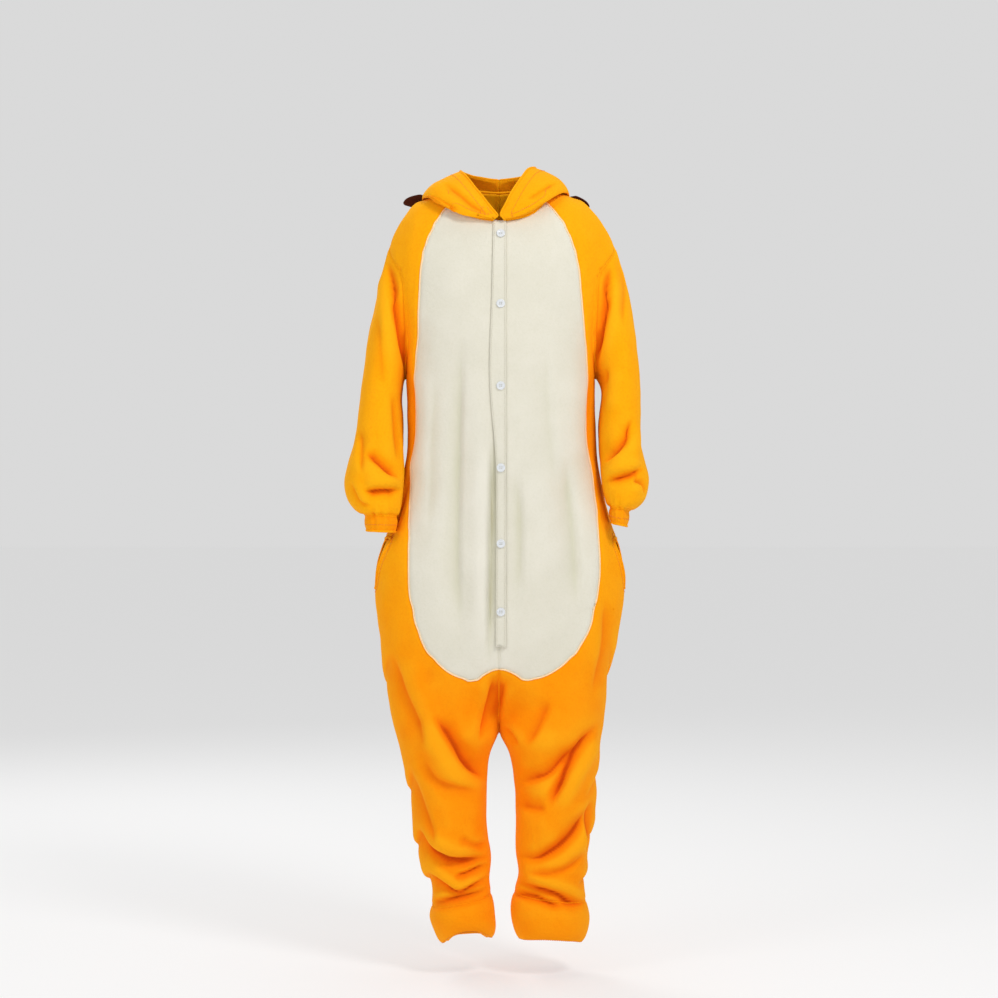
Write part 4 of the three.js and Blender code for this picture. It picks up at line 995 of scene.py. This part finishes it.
def stitches(path, surface):
    """A row of stitches: short threads that bow out of the cloth, evenly spaced along a line on it."""
    pitch = STITCH + STITCH_GAP
    line = evened(path, pitch / 4)
    shapes = []
    for start in range(0, len(line) - 4, 4):
        first, last = line[start], line[start + 3]
        spot, normal, _, _ = surface.find_nearest(Vector((first + last) / 2))
        if (spot - Vector((first + last) / 2)).length > 4 * STITCH:
            continue
        out = np.array(normal)
        middle = np.array(spot)
        half = (last - first) / 2
        bow = [
            middle - half,
            middle - 0.5 * half + out * THREAD,
            middle + 0.5 * half + out * THREAD,
            middle + half,
        ]
        shapes.append(tube(np.array(bow), THREAD, 4))
    return shapes


def make_seam_cords(body):
    """The raised seam between the cream belly and the orange front: a real cord, in a thread paler than the
    cream as a painted highlight.
    """
    for side in ("right", "left"):
        pair = sorted([TRUNK.index("belly_" + side), TRUNK.index("front_" + side)])
        shapes = []
        for run in edge_runs(body, lambda panels: panels == pair):
            line = laid_on(evened(run, LINE_STEP), body["surface"], CORD * 0.35)
            shapes.append(tube(line, CORD, 6))
        corners, faces = joined(shapes)
        trim_piece("belly_seam_" + side, corners, faces, PALE_THREAD, "cream_fleece")


def make_closed_seams(body):
    """The cloth drawn together in the groove of each seam between panels of one colour."""
    cream = {number for number, node in enumerate(TRUNK) if kind_of(node) == "belly"}
    for name, material, slot, alike in (
        ("seams_orange", ORANGE, "orange_fleece", lambda panels: not cream & set(panels)),
        ("seams_cream", CREAM, "cream_fleece", lambda panels: cream >= set(panels)),
    ):
        shapes = []
        for run in edge_runs(body, lambda panels: len(panels) == 2 and alike(panels)):
            line = laid_on(evened(run, SEAM_STEP), body["surface"], -0.4 * SEAM_FILL)
            shapes.append(tube(line, SEAM_FILL, 6))
        corners, faces = joined(shapes)
        trim_piece(name, corners, faces, material, slot)


def open_hems(body, kind):
    """The open edges of a kind of panel; of the fronts, only the mouths of the pockets."""
    lines = []
    for side in ("right", "left"):
        number = TRUNK.index(kind + "_" + side)
        for run in edge_runs(body, lambda panels: panels == [number]):
            if kind != "front" or (run[:, 2].max() < MOUTH_TOP and run[:, 2].min() > MOUTH_FOOT):
                lines.append(evened(run, LINE_STEP))
    return lines


def make_hem_rolls(body, hood):
    """The turned edges of the open hems, thicker and rounder than the cloth."""
    shapes = []
    for kind, radius in HEM_ROLL.items():
        shapes.extend(tube(line, radius, 8) for line in open_hems(body, kind))
    for run in edge_runs(hood, lambda panels: len(panels) == 1):
        shapes.append(tube(evened(run, LINE_STEP), HOOD_ROLL, 8))
    corners, faces = joined(shapes)
    trim_piece("hem_rolls", corners, faces, ORANGE, "orange_fleece")


def make_stitches(body, hood, placket):
    cream, orange = [], []
    for run in edge_runs(placket, lambda panels: len(panels) == 1):
        row = beside(evened(run, FINE_STEP), placket["surface"], BAND_HEM)
        cream += stitches(row, placket["surface"])
    for kind, inset in HEM.items():
        for line in open_hems(body, kind):
            orange += stitches(beside(line, body["surface"], inset), body["surface"])
    for run in edge_runs(hood, lambda panels: len(panels) == 1):
        row = beside(evened(run, LINE_STEP), hood["surface"], HOOD_HEM)
        orange += stitches(row, hood["surface"])
    for height in BARTACK:
        cream += stitches([(x, BARTACK_Y, height) for x in BARTACK_SPAN], placket["surface"])
    trim_piece("stitches_cream", *joined(cream), CREAM_THREAD, "cream_fleece")
    trim_piece("stitches_orange", *joined(orange), ORANGE_THREAD, "orange_fleece")


def button_mesh():
    """A sew-on button with four holes and a raised rim, lying in its own plane."""
    def disc(name, rings, thick, edge):
        outline = bpy.data.curves.new(name, "CURVE")
        outline.dimensions = "2D"
        outline.fill_mode = "BOTH"
        outline.extrude = thick / 2 - edge
        outline.bevel_depth = edge
        outline.bevel_resolution = 2
        for x, y, radius, corners in rings:
            ring = outline.splines.new("POLY")
            ring.points.add(corners - 1)
            ring.use_cyclic_u = True
            for n, point in enumerate(ring.points):
                turn = 2 * math.pi * n / corners
                point.co = (x + radius * math.cos(turn), y + radius * math.sin(turn), 0, 1)
        holder = bpy.data.objects.new(name, outline)
        bpy.context.scene.collection.objects.link(holder)
        graph = bpy.context.evaluated_depsgraph_get()
        solid = bpy.data.meshes.new_from_object(holder.evaluated_get(graph))
        bpy.data.objects.remove(holder)
        bpy.data.curves.remove(outline)
        return solid

    holes = [(x * HOLE_AT, y * HOLE_AT, HOLE, 12) for x in (-1, 1) for y in (-1, 1)]
    plate = disc("plate", [(0, 0, BUTTON - 0.0008, 32), *holes], BUTTON_PLATE, 0.0002)
    rim_rings = [(0, 0, BUTTON - 0.0006, 32), (0, 0, BUTTON - 0.0014, 32)]
    rim = disc("rim", rim_rings, BUTTON_RIM, 0.0006)
    whole = bmesh.new()
    whole.from_mesh(plate)
    whole.from_mesh(rim)
    own = bpy.data.meshes.new("button")
    whole.to_mesh(own)
    whole.free()
    for face in own.polygons:
        face.use_smooth = True
    own.materials.clear()
    own.materials.append(PEARL)
    return own


def make_buttons(surface):
    """The buttons, each in the place of its node and sewn on with two threads."""
    plain = button_mesh()
    threads = []
    for number in range(1, BUTTONS + 1):
        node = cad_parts["button_%d" % number]
        corners = np.array([node.matrix_world @ vert.co for vert in node.data.vertices])
        centre = (corners.max(axis=0) + corners.min(axis=0)) / 2
        spot, normal, _, _ = surface.find_nearest(Vector(centre))
        turned = normal.to_track_quat("Z", "Y").to_matrix().to_4x4()
        place = turned.copy()
        place.translation = spot + normal * BUTTON_STAND
        piece = bpy.data.objects.new("button_%d_pearl" % number, plain.copy())
        piece.matrix_world = place
        bpy.context.scene.collection.objects.link(piece)
        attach(piece, "root")
        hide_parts("button_%d" % number)
        for x in (-HOLE_AT, HOLE_AT):
            bow = [
                (x, -HOLE_AT, THREAD_DEEP),
                (x, -0.6 * HOLE_AT, THREAD_HIGH),
                (x, 0.6 * HOLE_AT, THREAD_HIGH),
                (x, HOLE_AT, THREAD_DEEP),
            ]
            threads.append(tube(np.array([place @ Vector(point) for point in bow]), BUTTON_THREAD, 6))
    trim_piece("button_threads", *joined(threads), CREAM_THREAD, "cream_fleece")


body_form = make_body()
hood_form = make_hood()
placket_form = make_single("placket", FINE)
for single in ["mane_right", "mane_left", "pocket_right", "pocket_left"]:
    make_single(single, FINE - 1)
make_seam_cords(body_form)
make_closed_seams(body_form)
make_hem_rolls(body_form, hood_form)
make_stitches(body_form, hood_form, placket_form)
make_buttons(placket_form["surface"])


# The room: a pale floor, soft light and the camera

def softbox(name, place, size, power):
    """A round soft light, turned to the middle of the garment."""
    light = bpy.data.lights.new(name, "AREA")
    light.shape = "DISK"
    light.size = size
    light.energy = power
    holder = bpy.data.objects.new(name, light)
    holder.location = place
    aim = Vector((0, 0, -0.6)) - Vector(place)
    holder.rotation_euler = aim.to_track_quat("-Z", "Y").to_euler()
    bpy.context.scene.collection.objects.link(holder)


def make_floor():
    mesh = bpy.data.meshes.new("floor")
    corners = [(-1, -1), (1, -1), (1, 1), (-1, 1)]
    mesh.from_pydata([(x * FLOOR_REACH, y * FLOOR_REACH, FLOOR_Z) for x, y in corners], [], [(0, 1, 2, 3)])
    paint = bpy.data.materials.new("floor")
    paint.use_nodes = True
    shader = paint.node_tree.nodes["Principled BSDF"]
    shader.inputs["Base Color"].default_value = FLOOR_TONE
    shader.inputs["Roughness"].default_value = 0.95
    shader.inputs["Specular IOR Level"].default_value = 0
    shader.inputs["Emission Color"].default_value = (1, 1, 1, 1)
    shader.inputs["Emission Strength"].default_value = FLOOR_GLOW
    mesh.materials.append(paint)
    floor = bpy.data.objects.new("floor", mesh)
    bpy.context.scene.collection.objects.link(floor)


def make_sky():
    """Pale near the horizon, calmer above, so that light comes in softly from the room's walls."""
    world = bpy.data.worlds.new("studio")
    world.use_nodes = True
    nodes, links = world.node_tree.nodes, world.node_tree.links
    place = nodes.new("ShaderNodeTexCoord")
    height = nodes.new("ShaderNodeSeparateXYZ")
    links.new(place.outputs["Generated"], height.inputs["Vector"])
    ramp = nodes.new("ShaderNodeValToRGB")
    ramp.color_ramp.elements[0].position = 0.22
    ramp.color_ramp.elements[0].color = WALL_TONE
    ramp.color_ramp.elements[1].position = 0.5
    ramp.color_ramp.elements[1].color = CEILING_TONE
    links.new(height.outputs["Z"], ramp.inputs["Fac"])
    links.new(ramp.outputs["Color"], nodes["Background"].inputs["Color"])
    bpy.context.scene.world = world


def make_camera():
    lens = bpy.data.cameras.new("camera")
    lens.sensor_width = SENSOR
    lens.lens = SENSOR * CAMERA_AWAY / FRAME_WIDTH
    camera = bpy.data.objects.new("camera", lens)
    camera.location = (0, -CAMERA_AWAY, CAMERA_Z)
    camera.rotation_euler = (math.pi / 2, 0, 0)
    bpy.context.scene.collection.objects.link(camera)
    bpy.context.scene.camera = camera
    bpy.context.scene.view_settings.view_transform = "Standard"


make_floor()
make_sky()
make_camera()
softbox("key", (1.7, -2.6, 2.0), 1.1, 62)
softbox("fill", (-2.4, -2.6, 0.8), 1.6, 24)
softbox("top", (0.3, 0.4, 2.4), 1.6, 14)
softbox("back", (-1.4, 2.8, 1.4), 1.6, 34)
